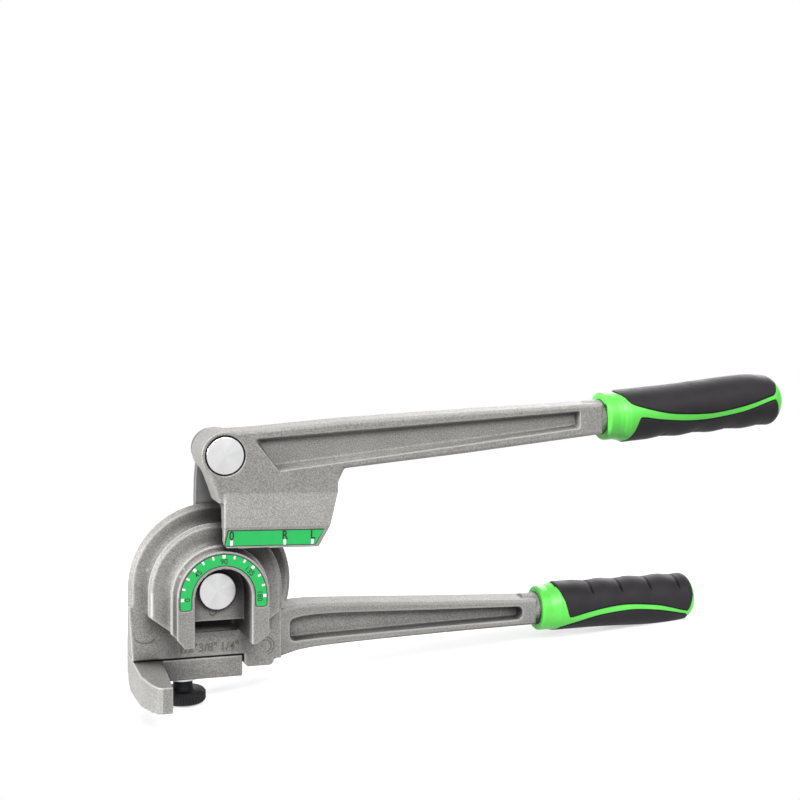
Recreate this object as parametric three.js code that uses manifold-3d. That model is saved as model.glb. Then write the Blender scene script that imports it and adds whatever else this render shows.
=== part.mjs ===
// Hand tube bender for three tube sizes: a stepped die with a fixed handle, a link, a bending lever
// with a grooved shoe, and a clamp block that slides under the die.
// Millimetres. X runs along the handles, Y runs away from the dial, Z is up.
// The origin is the centre of the lower pin's flat face, so Y is the bend axis.
import * as THREE from 'three';
import { ConvexGeometry } from 'three/addons/geometries/ConvexGeometry.js';
import { mergeVertices } from 'three/addons/utils/BufferGeometryUtils.js';
import Module from 'manifold-3d';

const wasm = await Module();
wasm.setup();

// Tube sizes and centre-line bend radii
const quarterTube = 6.35;
const middleTube = 9.53;
const halfTube = 12.7;
const quarterBend = 25.4;
const middleBend = 28.6;
const halfBend = 38.1;
const grooveClearance = 0.1;

// General clearances
const runningGap = 0.3;
const seatGap = 0.3;
const overrun = 3;
const joinDepth = 1;

// Die, measured from its front face
const frontLip = 2.1;
const thinRib = 2.1;
const thickRib = 2.6;
const frontLipShort = 0.3;
const thinRibRise = 1.5;
const thickRibFrontRise = 6.7;
const thickRibBackShort = 0.4;
const flangeFrontRise = 5.5;
const flangeRise = 8.1;
const flangeBevel = 3.2;
const windowHalfWidth = 15.6;
const windowFoot = 26.7;
const cutShoulderX = 41.4;
const cutShoulderDrop = 9.8;
const cutTipX = 18.4;
const cutTipDrop = 26.9;
const tipWidth = 2.4;
const leftElbowX = 24.6;
const leftElbowDrop = 22.4;
const leftTipX = 21;

// Web that carries the lower pin
const pinFaceSet = 17;
const webBottomDrop = 17.2;

// Back plate, rear bar and lug
const plateThickness = 4;
const plateDrop = 41;
const plateLeftX = 44.2;
const plateRightX = 40.5;
const plateRightDrop = 12.9;
const plateRightFoot = 45;
const barDepth = 22;
const barLeftX = 43.9;
const barTopDrop = 17;
const troughBackWall = 6;
const lugLeftX = 19;
const lugRightX = 36.4;
const lugDrop = 48.8;
const lugChamfer = 2;

// Fixed handle: rise of its top edge and drop of its bottom edge at named stations
const handleSet = 2;
const handleThickness = 20;
const handleRound = 1.5;
const handleRootX = 34;
const handleHeelX = 52;
const handleNeckX = 80;
const handleMiddleX = 140;
const handleRootTop = 19;
const handleHeelTop = 15.4;
const handleNeckTop = 16;
const handleMiddleTop = 19;
const handleEndTop = 21.6;
const handleRootFoot = 47.6;
const handleHeelFoot = 42;
const handleNeckFoot = 40;
const handleMiddleFoot = 38.3;
const handleEndFoot = 37.2;
const handlePocketStartX = 46;
const handlePocketHeelX = 66;
const handlePocketEndX = 192;
const handlePocketStartTop = 23.8;
const handlePocketHeelTop = 21.5;
const handlePocketMiddleTop = 23.8;
const handlePocketEndTop = 25.4;
const handlePocketStartFoot = 37;
const handlePocketHeelFoot = 35.8;
const handlePocketMiddleFoot = 34.2;
const handlePocketEndFoot = 33.4;
const handlePocketDepth = 6.5;
const handlePocketDraft = 1.5;
const handlePocketCorner = 3.5;
const tangOverlap = 7;

// Upper pin and lever
const pinSet = 1.8;
const pinRise = 76.3;
const bossRadius = 13;
const bossTangent = 27;
const leverSet = 5;
const leverThickness = 22;
const leverRound = 1.8;
const leverShoulderX = 20;
const leverNeckX = 69;
const leverMiddleX = 141;
const leverShoulderTop = 90;
const leverNeckTop = 93.8;
const leverMiddleTop = 97.4;
const leverEndTop = 101;
const leverNeckFoot = 67.2;
const leverMiddleFoot = 73.7;
const leverEndFoot = 82.6;
const leverPocketTopX = 17.5;
const leverPocketFootX = 31.6;
const leverPocketEndX = 212;
const leverPocketStartTop = 84.9;
const leverPocketEndTop = 96.6;
const leverPocketStartFoot = 67;
const leverPocketEndFoot = 86.4;
const leverFloorTopX = 21.1;
const leverFloorFootX = 29.9;
const leverFloorEndX = 210.5;
const leverFloorStartTop = 82.8;
const leverFloorEndTop = 94.5;
const leverFloorStartFoot = 70.1;
const leverFloorEndFoot = 88.1;
const leverPocketDepth = 5;
const leverPocketCorner = 1.2;
const waistTopX = -7;
const waistTopRise = 65;
const waistMiddleX = -4;
const waistMiddleRise = 57;
const waistFootX = -1.8;
const waistFootRise = 50.5;
const leverPlateFoot = 48;

// Shoe under the lever, measured before it is tilted
const shoeTilt = 1.6;
const shoeLift = 26.7;
const shoeRibClearance = 1.7;
const shoeBackGap = 0.8;
const shoeLeftX = -1.3;
const shoeLeftChamfer = 2.4;
const shoeLeftSlant = 5.2;
const shoeFootRightX = 52;
const shoeBandRightX = 58.4;
const shoeTopRightX = 63.5;
const shoeBandTop = 38.5;
const shoeBevelTop = 56;
const shoeTop = 66;

// Pins, bushes, washers and rings
const pinHeadRadius = 10.2;
const pinHeadThickness = 3.6;
const pinHeadChamfer = 0.4;
const pinShankRadius = 7;
const bushWall = 1.6;
const counterboreGap = 0.8;
const linkThickness = 6;
const linkPlateGap = 1.5;
const spacerPlay = 0.25;
const washerThickness = 1.5;
const washerRadius = 10.6;
const ringThickness = 1.2;
const ringRadius = 9;
const ringGrooveRadius = 6;
const ringMouth = 5;
const pinTail = 1.6;

// Link
const linkEndRadius = 11.3;
const linkWaist = 9.3;
const linkBlend = 17;
const linkEndTurn = 40;
const linkRound = 0.5;

// Dial plate and shoe strip
const dialOuterRadius = 23.8;
const dialInnerRadius = 17.3;
const dialDrop = 6;
const dialThickness = 0.5;
const dialCorner = 1.6;
const dialMargin = 0.3;
const dialSink = 0.1;
const stripThickness = 0.5;
const stripFootMargin = 1.3;
const stripTopMargin = 2;
const stripLeftMargin = 0.5;
const stripRightMargin = 2.6;
const stripLeftLean = 0.2;
const stripGap = 0.2;

// Clamp block
const blockGap = 0.8;
const blockHeight = 12;
const blockLeftX = 43.7;
const blockRightX = 17.9;
const blockFrontX = 42.4;
const blockBendX = 40.4;
const blockShoulderX = 38;
const blockNoseX = 36;
const blockHeelSet = 8;
const blockBendSet = 10;
const blockShoulderSet = 15.8;
const blockNoseSet = 17.6;
const blockCheekX = 27.5;
const blockNoseCheekX = 30.4;
const cheekFlare = 1.8;
const armNoseDepth = 2;
const armMiddleDepth = 5.5;
const armBackDepth = 7.6;
const armHeelDepth = 3.5;
const armMiddleSet = 19;
const armHeelSet = 8;
const clampTravel = 16.3;
const guideLipThickness = 3;
const guideLipRise = 10;

// Thumb screw
const screwX = -14.3;
const studRadius = 4;
const studBoreGap = 0.35;
const studEngagement = 11;
const screwWasherRadius = 8.5;
const screwWasherThickness = 1.4;
const screwNeckRadius = 5.5;
const screwNeckLength = 6;
const studInset = 3;
const screwHeadRadius = 13;
const screwHeadHeight = 7;
const screwHeadChamfer = 1;
const knurlDepth = 0.5;
const knurlCount = 36;

// Grips
const lowerGripLength = 108.4;
const upperGripLength = 121.6;
const lowerGripX = 204.4;
const lowerGripDrop = 29.3;
const lowerGripTilt = 0.5;
const upperGripX = 230;
const upperGripRise = 92.1;
const upperGripTilt = 4.5;
const gripRoll = 10;
const gripBoreRadius = 8.3;
const gripBoreEnd = 9;
const shoulderRadius = 10.4;
const shoulderLength = 3;
const mouthDepth = 3.5;
const gripCollarRadius = 14.3;
const gripSideRadius = 15.5;
const gripPalmRadius = 14.6;
const gripPalmSwell = 1.6;
const gripPalmFall = 2.4;
const gripFingerRadius = 16.4;
const fingerDip = 0.9;
const lowerGripScale = 0.95;
const padThickness = 3;

// Shares of a grip's length
const collarFlatShare = 0.055;
const collarEndShare = 0.11;
const palmStartShare = 0.07;
const fingerStartShare = 0.1;
const padEndShare = 0.95;
const tailStartShare = 0.92;
const tailFlatShare = 0.06;
const swellStartShare = 0.3;
const swellPeakShare = 0.78;
const fallStartShare = 0.8;
const dipShare = 0.32;
const dipPitchShare = 0.185;

// Pad edges on the front face: angles in degrees from the grip's middle towards the pad
const palmEdgeShares = [0.07, 0.1, 0.13, 0.25, 0.36, 0.5, 0.6, 0.75, 0.88, 0.92, 0.95];
const palmEdgeAngles = [84, 58, 37, 17, 6, 0, 0, 8, 21, 28, 56];
const fingerEdgeShares = [0.1, 0.13, 0.153, 0.177, 0.28, 0.41, 0.535, 0.7, 0.79, 0.9, 0.925, 0.95];
const fingerEdgeAngles = [78, 36, 2, -4, 5.5, 14, 16.5, 10, 2, -11, -8, 26];

const degree = Math.PI / 180;
const vertexMerge = 1e-3;
const pointMerge = 1e-2;
const arcSteps = 20;
const coveSteps = 10;
const cornerSteps = 4;
const splineSamples = 200;
const roundSteps = 24;
const dieSteps = 60;
const gripSteps = 20;
const padSteps = 9;

// Die radii and depths that follow from the tube sizes
const frontLipRadius = quarterBend - frontLipShort;
const thinRibRadius = quarterBend + thinRibRise;
const thickRibFrontRadius = middleBend + thickRibFrontRise;
const thickRibBackRadius = halfBend - thickRibBackShort;
const flangeFrontRadius = halfBend + flangeFrontRise;
const flangeRadius = halfBend + flangeRise;
const dieFrontY = -pinFaceSet;
const quarterRadius = (quarterTube + grooveClearance) / 2;
const middleRadius = (middleTube + grooveClearance) / 2;
const halfRadius = (halfTube + grooveClearance) / 2;
const quarterY = dieFrontY + frontLip + quarterRadius;
const middleY = quarterY + quarterRadius + thinRib + middleRadius;
const halfY = middleY + middleRadius + thickRib + halfRadius;
const plateFrontY = halfY + halfRadius;
const plateBackY = plateFrontY + plateThickness;
const barBackY = plateFrontY + barDepth;
const webFrontY = pinHeadThickness + seatGap;
const linkFrontY = plateBackY + linkPlateGap;
const linkBackY = linkFrontY + linkThickness;
const leverFrontY = dieFrontY + leverSet;
const leverBackY = leverFrontY + leverThickness;
const bossBackY = plateFrontY - runningGap;
const handleFrontY = plateFrontY + handleSet;
const handleBackY = handleFrontY + handleThickness;
const handleMidY = (handleFrontY + handleBackY) / 2;
const leverMidY = (leverFrontY + leverBackY) / 2;
const handleEndX = lowerGripX - shoulderLength;
const leverEndX = upperGripX - shoulderLength;
const plateTopZ = -plateDrop;
const blockTopZ = plateTopZ - blockGap;
const blockFootZ = blockTopZ - blockHeight;
const washerFootZ = blockFootZ - runningGap - screwWasherThickness;
const neckTopZ = washerFootZ - seatGap / 2;
const headTopZ = neckTopZ - screwNeckLength;
const screwY = (plateFrontY + barBackY) / 2;
const lowerAxis = [0, 0];
const upperAxis = [pinSet, pinRise];

// Geometry helpers

function solidOf(geometry) {
  const bare = geometry.index ? geometry.toNonIndexed() : geometry.clone();
  bare.deleteAttribute('normal');
  bare.deleteAttribute('uv');
  const merged = mergeVertices(bare, vertexMerge);
  return new wasm.Manifold(new wasm.Mesh({
    numProp: 3,
    vertProperties: Float32Array.from(merged.attributes.position.array),
    triVerts: Uint32Array.from(merged.index.array),
  }));
}

function geometryOf(solid) {
  const mesh = solid.getMesh();
  const geometry = new THREE.BufferGeometry();
  geometry.setAttribute('position', new THREE.BufferAttribute(mesh.vertProperties, mesh.numProp));
  geometry.setIndex(new THREE.BufferAttribute(mesh.triVerts, 1));
  const flat = geometry.toNonIndexed();
  flat.computeVertexNormals();
  return flat;
}

function union(first, ...rest) {
  return rest.reduce((sum, item) => sum.add(item), first);
}

// Points without repeats, so that no face is degenerate
function distinct(points) {
  return points.map(([x, y]) => new THREE.Vector2(x, y))
    .filter((p, i, all) => i === 0 || p.distanceTo(all[i - 1]) > pointMerge);
}

function shapeOf(points) {
  return new THREE.Shape(distinct(points));
}

// An outline with each real corner rounded
function roundedPoints(points, radius) {
  const n = points.length;
  return points.flatMap((point, i) => {
    const corner = new THREE.Vector2(...point);
    const back = new THREE.Vector2(...points[(i + n - 1) % n]).sub(corner);
    const on = new THREE.Vector2(...points[(i + 1) % n]).sub(corner);
    const half = back.angleTo(on) / 2;
    const reach = Math.min(radius / Math.tan(half), back.length() / 2, on.length() / 2);
    if (reach < radius / cornerSteps) return [point];
    const middle = back.normalize().clone().add(on.normalize()).normalize();
    const centre = corner.clone().addScaledVector(middle, reach / Math.cos(half));
    const start = corner.clone().addScaledVector(back, reach).sub(centre);
    const turn = Math.sign(start.cross(middle)) * (90 - half / degree) * 2;
    const from = start.angle() / degree;
    return arcPoints(centre.x, centre.y, start.length(), from, from - turn, cornerSteps);
  });
}

// Smooth function through the given values
function smooth(xs, values) {
  const points = new THREE.SplineCurve(xs.map((x, i) => new THREE.Vector2(x, values[i])))
    .getPoints(splineSamples);
  return (x) => {
    const found = points.findIndex((p) => p.x >= x);
    const i = found < 0 ? splineSamples : Math.max(1, found);
    const [a, b] = [points[i - 1], points[i]];
    return a.y + (b.y - a.y) * (x - a.x) / (b.x - a.x);
  };
}

// An outline in X and Z, carried from one Y to another
function slab(shape, fromY, toY, round = 0) {
  const geometry = new THREE.ExtrudeGeometry(shape, {
    depth: toY - fromY - 2 * round,
    bevelEnabled: round > 0,
    bevelThickness: round,
    bevelSize: round,
    bevelOffset: -round,
    bevelSegments: 2,
    curveSegments: arcSteps,
  });
  geometry.rotateX(90 * degree);
  geometry.translate(0, toY - round, 0);
  return solidOf(geometry);
}

// Cutter for a pocket whose walls slope in evenly from the mouth to the floor
function pocket(points, mouthY, depth, draft) {
  const geometry = new THREE.ExtrudeGeometry(shapeOf(points), {
    depth: overrun,
    bevelEnabled: true,
    bevelThickness: depth,
    bevelSize: draft,
    bevelOffset: -draft,
    bevelSegments: 1,
  });
  geometry.rotateX(90 * degree);
  geometry.translate(0, mouthY, 0);
  return solidOf(geometry);
}

// An outline in X and Y, carried from one Z to another
function column(shape, fromZ, toZ) {
  const geometry = new THREE.ExtrudeGeometry(shape, {
    depth: toZ - fromZ, bevelEnabled: false, curveSegments: arcSteps,
  });
  geometry.translate(0, 0, fromZ);
  return solidOf(geometry);
}

// An outline in Y and Z, carried from one X to another
function beam(shape, fromX, toX) {
  const geometry = new THREE.ExtrudeGeometry(shape, {
    depth: toX - fromX, bevelEnabled: false, curveSegments: arcSteps,
  });
  geometry.rotateX(90 * degree);
  geometry.rotateZ(90 * degree);
  geometry.translate(fromX, 0, 0);
  return solidOf(geometry);
}

function rodY(radius, fromY, toY, x = 0, z = 0) {
  const geometry = new THREE.CylinderGeometry(radius, radius, toY - fromY, roundSteps);
  geometry.translate(x, (fromY + toY) / 2, z);
  return solidOf(geometry);
}

function rodZ(radius, fromZ, toZ, x, y) {
  const geometry = new THREE.CylinderGeometry(radius, radius, toZ - fromZ, roundSteps);
  geometry.rotateX(90 * degree);
  geometry.translate(x, y, (fromZ + toZ) / 2);
  return solidOf(geometry);
}

// Radius and Y pairs, turned about the Y axis at a given X and Z
function turned(points, x = 0, z = 0, steps = dieSteps) {
  const geometry = new THREE.LatheGeometry(distinct(points), steps);
  geometry.translate(x, 0, z);
  return solidOf(geometry);
}

function tubeY(outer, inner, fromY, toY, x = 0, z = 0) {
  return rodY(outer, fromY, toY, x, z)
    .subtract(rodY(inner, fromY - overrun, toY + overrun, x, z));
}

// Points on an arc in any plane, from one angle to another in degrees
function arcPoints(cx, cy, radius, from, to, steps = arcSteps) {
  return Array.from({ length: steps + 1 }, (_, i) => {
    const a = (from + (to - from) * i / steps) * degree;
    return [cx + radius * Math.cos(a), cy + radius * Math.sin(a)];
  });
}

// A value that rises from nothing to the whole along an S curve
function eased(whole, share) {
  const s = Math.min(Math.max(share, 0), 1);
  return whole * s * s * (3 - 2 * s);
}

// Closed solid through rings with the same number of points; each ring is one section
function loft(rings, capPairs) {
  const n = rings[0].length;
  const positions = rings.flat().flatMap((p) => [p.x, p.y, p.z]);
  const index = [];
  for (let i = 0; i + 1 < rings.length; i++) {
    for (let j = 0; j < n; j++) {
      const a = i * n + j;
      const b = i * n + (j + 1) % n;
      index.push(a, b, a + n, b, b + n, a + n);
    }
  }
  const last = (rings.length - 1) * n;
  for (const [a, b, c] of capPairs(n)) {
    index.push(c, b, a, last + a, last + b, last + c);
  }
  const geometry = new THREE.BufferGeometry();
  geometry.setAttribute('position', new THREE.Float32BufferAttribute(positions, 3));
  geometry.setIndex(index);
  return geometry;
}

// Cap of a convex ring: a fan
function fanCap(n) {
  return Array.from({ length: n - 2 }, (_, i) => [0, i + 1, i + 2]);
}

// Cap of a band ring, whose second half runs back beside the first
function bandCap(n) {
  return Array.from({ length: n / 2 - 1 }, (_, i) => [
    [i, i + 1, n - 1 - i],
    [i + 1, n - 2 - i, n - 1 - i],
  ]).flat();
}

function outward(geometry) {
  const solid = solidOf(geometry);
  if (solid.volume() > 0) return solid;
  const flipped = geometry.clone();
  flipped.index.array.reverse();
  return solidOf(flipped);
}

// Finishes
const finishes = {
  casting: { color: 0xb4b2ae, roughness: 0.55, metalness: 0.6 },
  steel: { color: 0xdcdddf, roughness: 0.22, metalness: 1 },
  zinc: { color: 0xc9ccd1, roughness: 0.3, metalness: 1 },
  bronze: { color: 0x8c6a3a, roughness: 0.45, metalness: 0.9 },
  spring: { color: 0x3a3c40, roughness: 0.4, metalness: 0.9 },
  black: { color: 0x141416, roughness: 0.5, metalness: 0 },
  greenPlate: { color: 0x32c864, roughness: 0.35, metalness: 0.1 },
  greenGrip: { color: 0x66f55a, roughness: 0.4, metalness: 0 },
  pad: { color: 0x3e3a3e, roughness: 0.75, metalness: 0 },
};

const bender = new THREE.Group();
bender.name = 'tube_bender';

function place(name, finish, solid, parent = bender) {
  const mesh = new THREE.Mesh(geometryOf(solid), new THREE.MeshStandardMaterial(finishes[finish]));
  mesh.name = name;
  parent.add(mesh);
  return mesh;
}

// Stepped die: radius against Y, from the front face to the back flange
function dieProfile() {
  const cove = (y, r, size) => arcPoints(y, r, size, 180, 360, coveSteps)
    .map(([py, pr]) => [pr, py]);
  return [
    [frontLipRadius, dieFrontY],
    [frontLipRadius, quarterY - quarterRadius],
    ...cove(quarterY, quarterBend, quarterRadius),
    [thinRibRadius, quarterY + quarterRadius],
    [thinRibRadius, middleY - middleRadius],
    ...cove(middleY, middleBend, middleRadius),
    [thickRibFrontRadius, middleY + middleRadius],
    [thickRibBackRadius, halfY - halfRadius],
    ...cove(halfY, halfBend, halfRadius),
    [flangeFrontRadius, plateFrontY],
    [flangeRadius, plateFrontY + flangeBevel],
    [flangeRadius, plateBackY],
  ];
}

// Keeps what lies above two slanted cuts that meet the inside of the window's legs
function legLimits() {
  const reach = flangeRadius + overrun;
  const slope = (cutTipDrop - cutShoulderDrop) / (cutShoulderX - cutTipX);
  const shoulder = -cutShoulderDrop + slope * (reach - cutShoulderX);
  const tip = cutTipX - tipWidth;
  return slab(shapeOf([
    [-reach, shoulder], [-leftElbowX, -leftElbowDrop], [-leftTipX, -cutTipDrop],
    [tip, -cutTipDrop], [cutTipX, -cutTipDrop], [reach, shoulder],
    [reach, reach], [-reach, reach],
  ]), dieFrontY - overrun, plateFrontY);
}

function windowShape(foot) {
  return shapeOf([
    ...arcPoints(0, 0, windowHalfWidth, 0, 180),
    [-windowHalfWidth, foot], [windowHalfWidth, foot],
  ]);
}

function steppedDie() {
  const profile = dieProfile();
  const arch = turned([[0, dieFrontY], ...profile, [0, plateBackY]]);
  const stem = (side) => column(shapeOf([
    [0, dieFrontY], ...profile.map(([r, y]) => [side * r, y]), [0, plateBackY],
  ]), -plateDrop, joinDepth);
  const stems = union(stem(-1), stem(1));
  const body = union(arch, stems).intersect(legLimits());
  return body.subtract(slab(windowShape(-plateDrop), dieFrontY - overrun, plateFrontY + overrun));
}

function pinWeb() {
  return slab(shapeOf([
    ...arcPoints(0, 0, windowHalfWidth + joinDepth, 0, 180),
    [-windowHalfWidth - joinDepth, -webBottomDrop], [windowHalfWidth + joinDepth, -webBottomDrop],
  ]), webFrontY, plateBackY);
}

// The flange disc and the plate under it, with the lug at its right corner. The plate is open
// between the web and the trough behind it.
function backPlate() {
  const meet = Math.asin(plateRightDrop / flangeRadius) / degree;
  const disc = turned([
    [0, plateFrontY], [flangeFrontRadius, plateFrontY],
    [flangeRadius, plateFrontY + flangeBevel], [flangeRadius, plateBackY], [0, plateBackY],
  ]);
  const keep = slab(shapeOf([
    [-flangeRadius - overrun, 0], [flangeRadius + overrun, -plateRightDrop],
    [flangeRadius + overrun, flangeRadius + overrun],
    [-flangeRadius - overrun, flangeRadius + overrun],
  ]), plateFrontY - overrun, plateBackY + overrun);
  const bevelled = column(shapeOf([
    [0, plateFrontY], [-flangeFrontRadius, plateFrontY],
    [-flangeRadius, plateFrontY + flangeBevel], [-flangeRadius, plateBackY], [0, plateBackY],
  ]), -cutShoulderDrop - joinDepth, joinDepth);
  const lower = slab(shapeOf([
    [0, 0], [0, -cutShoulderDrop], [-flangeRadius, -cutShoulderDrop],
    [-plateLeftX, -plateDrop], [lugLeftX, -plateDrop],
    [lugLeftX, -lugDrop + lugChamfer], [lugLeftX + lugChamfer, -lugDrop],
    [lugRightX - lugChamfer, -lugDrop], [lugRightX, -lugDrop + lugChamfer],
    [lugRightX, -plateRightFoot], [plateRightX, -plateRightFoot],
    [plateRightX, -plateRightDrop],
    [flangeRadius * Math.cos(meet * degree), -plateRightDrop],
  ]), plateFrontY, plateBackY);
  const footGap = slab(shapeOf([
    [-windowHalfWidth, -windowFoot], [windowHalfWidth, -windowFoot],
    [windowHalfWidth, -webBottomDrop], [-windowHalfWidth, -webBottomDrop],
  ]), plateFrontY - overrun, plateBackY + overrun);
  return union(disc.intersect(keep), bevelled, lower).subtract(footGap);
}

// Thick bar behind the plate, open on top where the link's foot and the pin's tail turn
function rearBar() {
  const bar = slab(shapeOf([
    [-barLeftX, -barTopDrop], [-barLeftX, -plateDrop], [lugLeftX, -plateDrop],
    [lugLeftX, -lugDrop + lugChamfer], [lugLeftX + lugChamfer, -lugDrop],
    [lugRightX - lugChamfer, -lugDrop], [lugRightX, -lugDrop + lugChamfer],
    [lugRightX, -barTopDrop],
  ]), plateBackY - joinDepth, barBackY);
  const trough = slab(shapeOf([
    [-windowHalfWidth, -barTopDrop + overrun], [-windowHalfWidth, -windowFoot],
    [windowHalfWidth, -windowFoot], [windowHalfWidth, -barTopDrop + overrun],
  ]), plateBackY - overrun, barBackY - troughBackWall);
  return bar.subtract(trough);
}

// An outline between two X, from the drops of its top and of its foot at the same places
function outlineBetween(xs, tops, feet) {
  const [top, foot] = [smooth(xs, tops), smooth(xs, feet)];
  const [fromX, toX] = [xs[0], xs[xs.length - 1]];
  const stations = Array.from({ length: arcSteps + 1 },
    (_, i) => fromX + (toX - fromX) * i / arcSteps);
  return [
    ...stations.map((x) => [x, -top(x)]),
    ...stations.reverse().map((x) => [x, -foot(x)]),
  ];
}

function fixedHandle() {
  const outer = outlineBetween(
    [handleRootX, handleHeelX, handleNeckX, handleMiddleX, handleEndX],
    [handleRootTop, handleHeelTop, handleNeckTop, handleMiddleTop, handleEndTop],
    [handleRootFoot, handleHeelFoot, handleNeckFoot, handleMiddleFoot, handleEndFoot],
  );
  const inner = outlineBetween(
    [handlePocketStartX, handlePocketHeelX, handleMiddleX, handlePocketEndX],
    [handlePocketStartTop, handlePocketHeelTop, handlePocketMiddleTop, handlePocketEndTop],
    [handlePocketStartFoot, handlePocketHeelFoot, handlePocketMiddleFoot, handlePocketEndFoot],
  );
  const bar = slab(shapeOf(outer), handleFrontY, handleBackY, handleRound);
  return bar.subtract(pocket(roundedPoints(inner, handlePocketCorner), handleFrontY,
    handlePocketDepth, handlePocketDraft));
}

// Frames of the two grips: where each starts, how it leans and which way its fingers face
const lowerGrip = {
  name: 'lower', length: lowerGripLength, scale: lowerGripScale, side: -1,
  start: new THREE.Vector3(lowerGripX, handleMidY, -lowerGripDrop), tilt: lowerGripTilt,
};
const upperGrip = {
  name: 'upper', length: upperGripLength, scale: 1, side: 1,
  start: new THREE.Vector3(upperGripX, leverMidY, upperGripRise), tilt: upperGripTilt,
};

function gripMatrix(grip) {
  return new THREE.Matrix4().makeTranslation(grip.start)
    .multiply(new THREE.Matrix4().makeRotationY(-grip.tilt * degree))
    .multiply(new THREE.Matrix4().makeRotationX(gripRoll * degree));
}

function rodX(radius, fromX, toX) {
  const geometry = new THREE.CylinderGeometry(radius, radius, toX - fromX, roundSteps);
  geometry.rotateZ(-90 * degree);
  geometry.translate((fromX + toX) / 2, 0, 0);
  return geometry;
}

// The end of a handle: a round shoulder in the grip's mouth and a tang that fills its bore
function tang(grip) {
  const matrix = gripMatrix(grip);
  const rod = (radius, fromX, toX) => solidOf(rodX(radius, fromX, toX).applyMatrix4(matrix));
  const core = rod(gripBoreRadius * grip.scale - seatGap, 0, grip.length - gripBoreEnd - seatGap);
  const shoulder = rod(shoulderRadius * grip.scale, -shoulderLength - tangOverlap,
    mouthDepth - seatGap);
  return union(core, shoulder);
}

function formerBody() {
  const stud = rodZ(
    studRadius + studBoreGap, plateTopZ - overrun, plateTopZ + studEngagement, screwX, screwY,
  );
  const bore = rodY(pinShankRadius + bushWall + seatGap, webFrontY - overrun,
    plateBackY + overrun);
  const dialSeat = slab(dialShape(dialMargin), dieFrontY - overrun, dieFrontY + dialThickness);
  const body = union(steppedDie(), pinWeb(), backPlate(), rearBar(), fixedHandle(),
    tang(lowerGrip));
  return body.subtract(stud).subtract(bore).subtract(dialSeat);
}

// Dial: a half ring that runs a little way down both legs
function dialShape(extra = 0) {
  const outer = dialOuterRadius + extra;
  const inner = dialInnerRadius - extra;
  const foot = -dialDrop - extra;
  const r = dialCorner;
  return shapeOf([
    ...arcPoints(0, 0, outer, 0, 180),
    ...arcPoints(-outer + r, foot + r, r, 180, 270, cornerSteps),
    ...arcPoints(-inner - r, foot + r, r, 270, 360, cornerSteps),
    ...arcPoints(0, 0, inner, 180, 0),
    ...arcPoints(inner + r, foot + r, r, 180, 270, cornerSteps),
    ...arcPoints(outer - r, foot + r, r, 270, 360, cornerSteps),
  ]);
}

// Lever

function leverOutline() {
  return shapeOf([
    ...arcPoints(...upperAxis, bossRadius, 180 + bossTangent, 90),
    [leverShoulderX, leverShoulderTop], [leverNeckX, leverNeckTop],
    [leverMiddleX, leverMiddleTop], [leverEndX, leverEndTop],
    [leverEndX, leverEndFoot], [leverMiddleX, leverMiddleFoot],
    [leverNeckX, leverNeckFoot], [shoeTopRightX, shoeBevelTop],
    [shoeBandRightX, leverPlateFoot], [shoeLeftX + shoeLeftSlant, leverPlateFoot],
    [waistFootX, waistFootRise], [waistMiddleX, waistMiddleRise], [waistTopX, waistTopRise],
  ]);
}

function shoeSection() {
  const middleLift = shoeLift + middleBend - quarterBend;
  const halfLift = shoeLift + halfBend - quarterBend;
  const thinRibLift = thinRibRadius + shoeRibClearance;
  const ribFrontY = middleY + middleRadius - runningGap;
  const channelEnd = Math.acos((halfRadius - shoeBackGap) / halfRadius) / degree;
  return shapeOf([
    [dieFrontY, shoeLift], [quarterY - quarterRadius, shoeLift],
    ...arcPoints(quarterY, shoeLift, quarterRadius, 180, 0, coveSteps),
    [quarterY + quarterRadius, thinRibLift],
    [middleY - middleRadius, thinRibLift], [middleY - middleRadius, middleLift],
    ...arcPoints(middleY, middleLift, middleRadius, 180, 90, coveSteps),
    [ribFrontY, middleLift + middleRadius], [ribFrontY, halfLift],
    [halfY - halfRadius, halfLift],
    ...arcPoints(halfY, halfLift, halfRadius, 180, channelEnd, coveSteps),
    [plateFrontY - shoeBackGap, shoeBevelTop],
    [leverBackY, shoeTop], [leverFrontY, shoeTop], [leverFrontY, shoeBevelTop],
    [dieFrontY, shoeBandTop],
  ]);
}

function shoe() {
  const block = beam(shoeSection(), shoeLeftX - overrun, shoeTopRightX + overrun);
  const ends = slab(shapeOf([
    [shoeLeftX, shoeLift + shoeLeftChamfer], [shoeLeftX + shoeLeftChamfer, shoeLift],
    [shoeLeftX + shoeLeftChamfer, 0], [shoeFootRightX, 0], [shoeFootRightX, shoeLift],
    [shoeBandRightX, shoeBandTop], [shoeTopRightX, shoeBevelTop],
    [shoeTopRightX, shoeTop + overrun], [shoeLeftX, shoeTop + overrun],
  ]), dieFrontY - overrun, bossBackY + overrun);
  const slanted = column(shapeOf([
    [shoeLeftX, dieFrontY - overrun], [shoeTopRightX + overrun, dieFrontY - overrun],
    [shoeTopRightX + overrun, bossBackY + overrun],
    [shoeLeftX + shoeLeftSlant, bossBackY + overrun],
  ]), 0, shoeTop + overrun);
  const seat = slab(stripShape(stripGap), dieFrontY - overrun, dieFrontY + stripThickness);
  return leaned(block.intersect(ends).intersect(slanted).subtract(seat), shoeTilt);
}

// The strip's outline, or its seat's when widened by a gap
function stripShape(gap = 0) {
  const rightLean = (shoeBandRightX - shoeFootRightX) / (shoeBandTop - shoeLift);
  const foot = shoeLift + stripFootMargin - gap;
  const top = shoeBandTop - stripTopMargin + gap;
  const right = (z) => shoeFootRightX + rightLean * (z - shoeLift) - stripRightMargin + gap;
  const left = (z) => shoeLeftX + stripLeftMargin + stripLeftLean * (z - shoeLift) - gap;
  return shapeOf([[left(foot), foot], [right(foot), foot], [right(top), top], [left(top), top]]);
}

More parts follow.
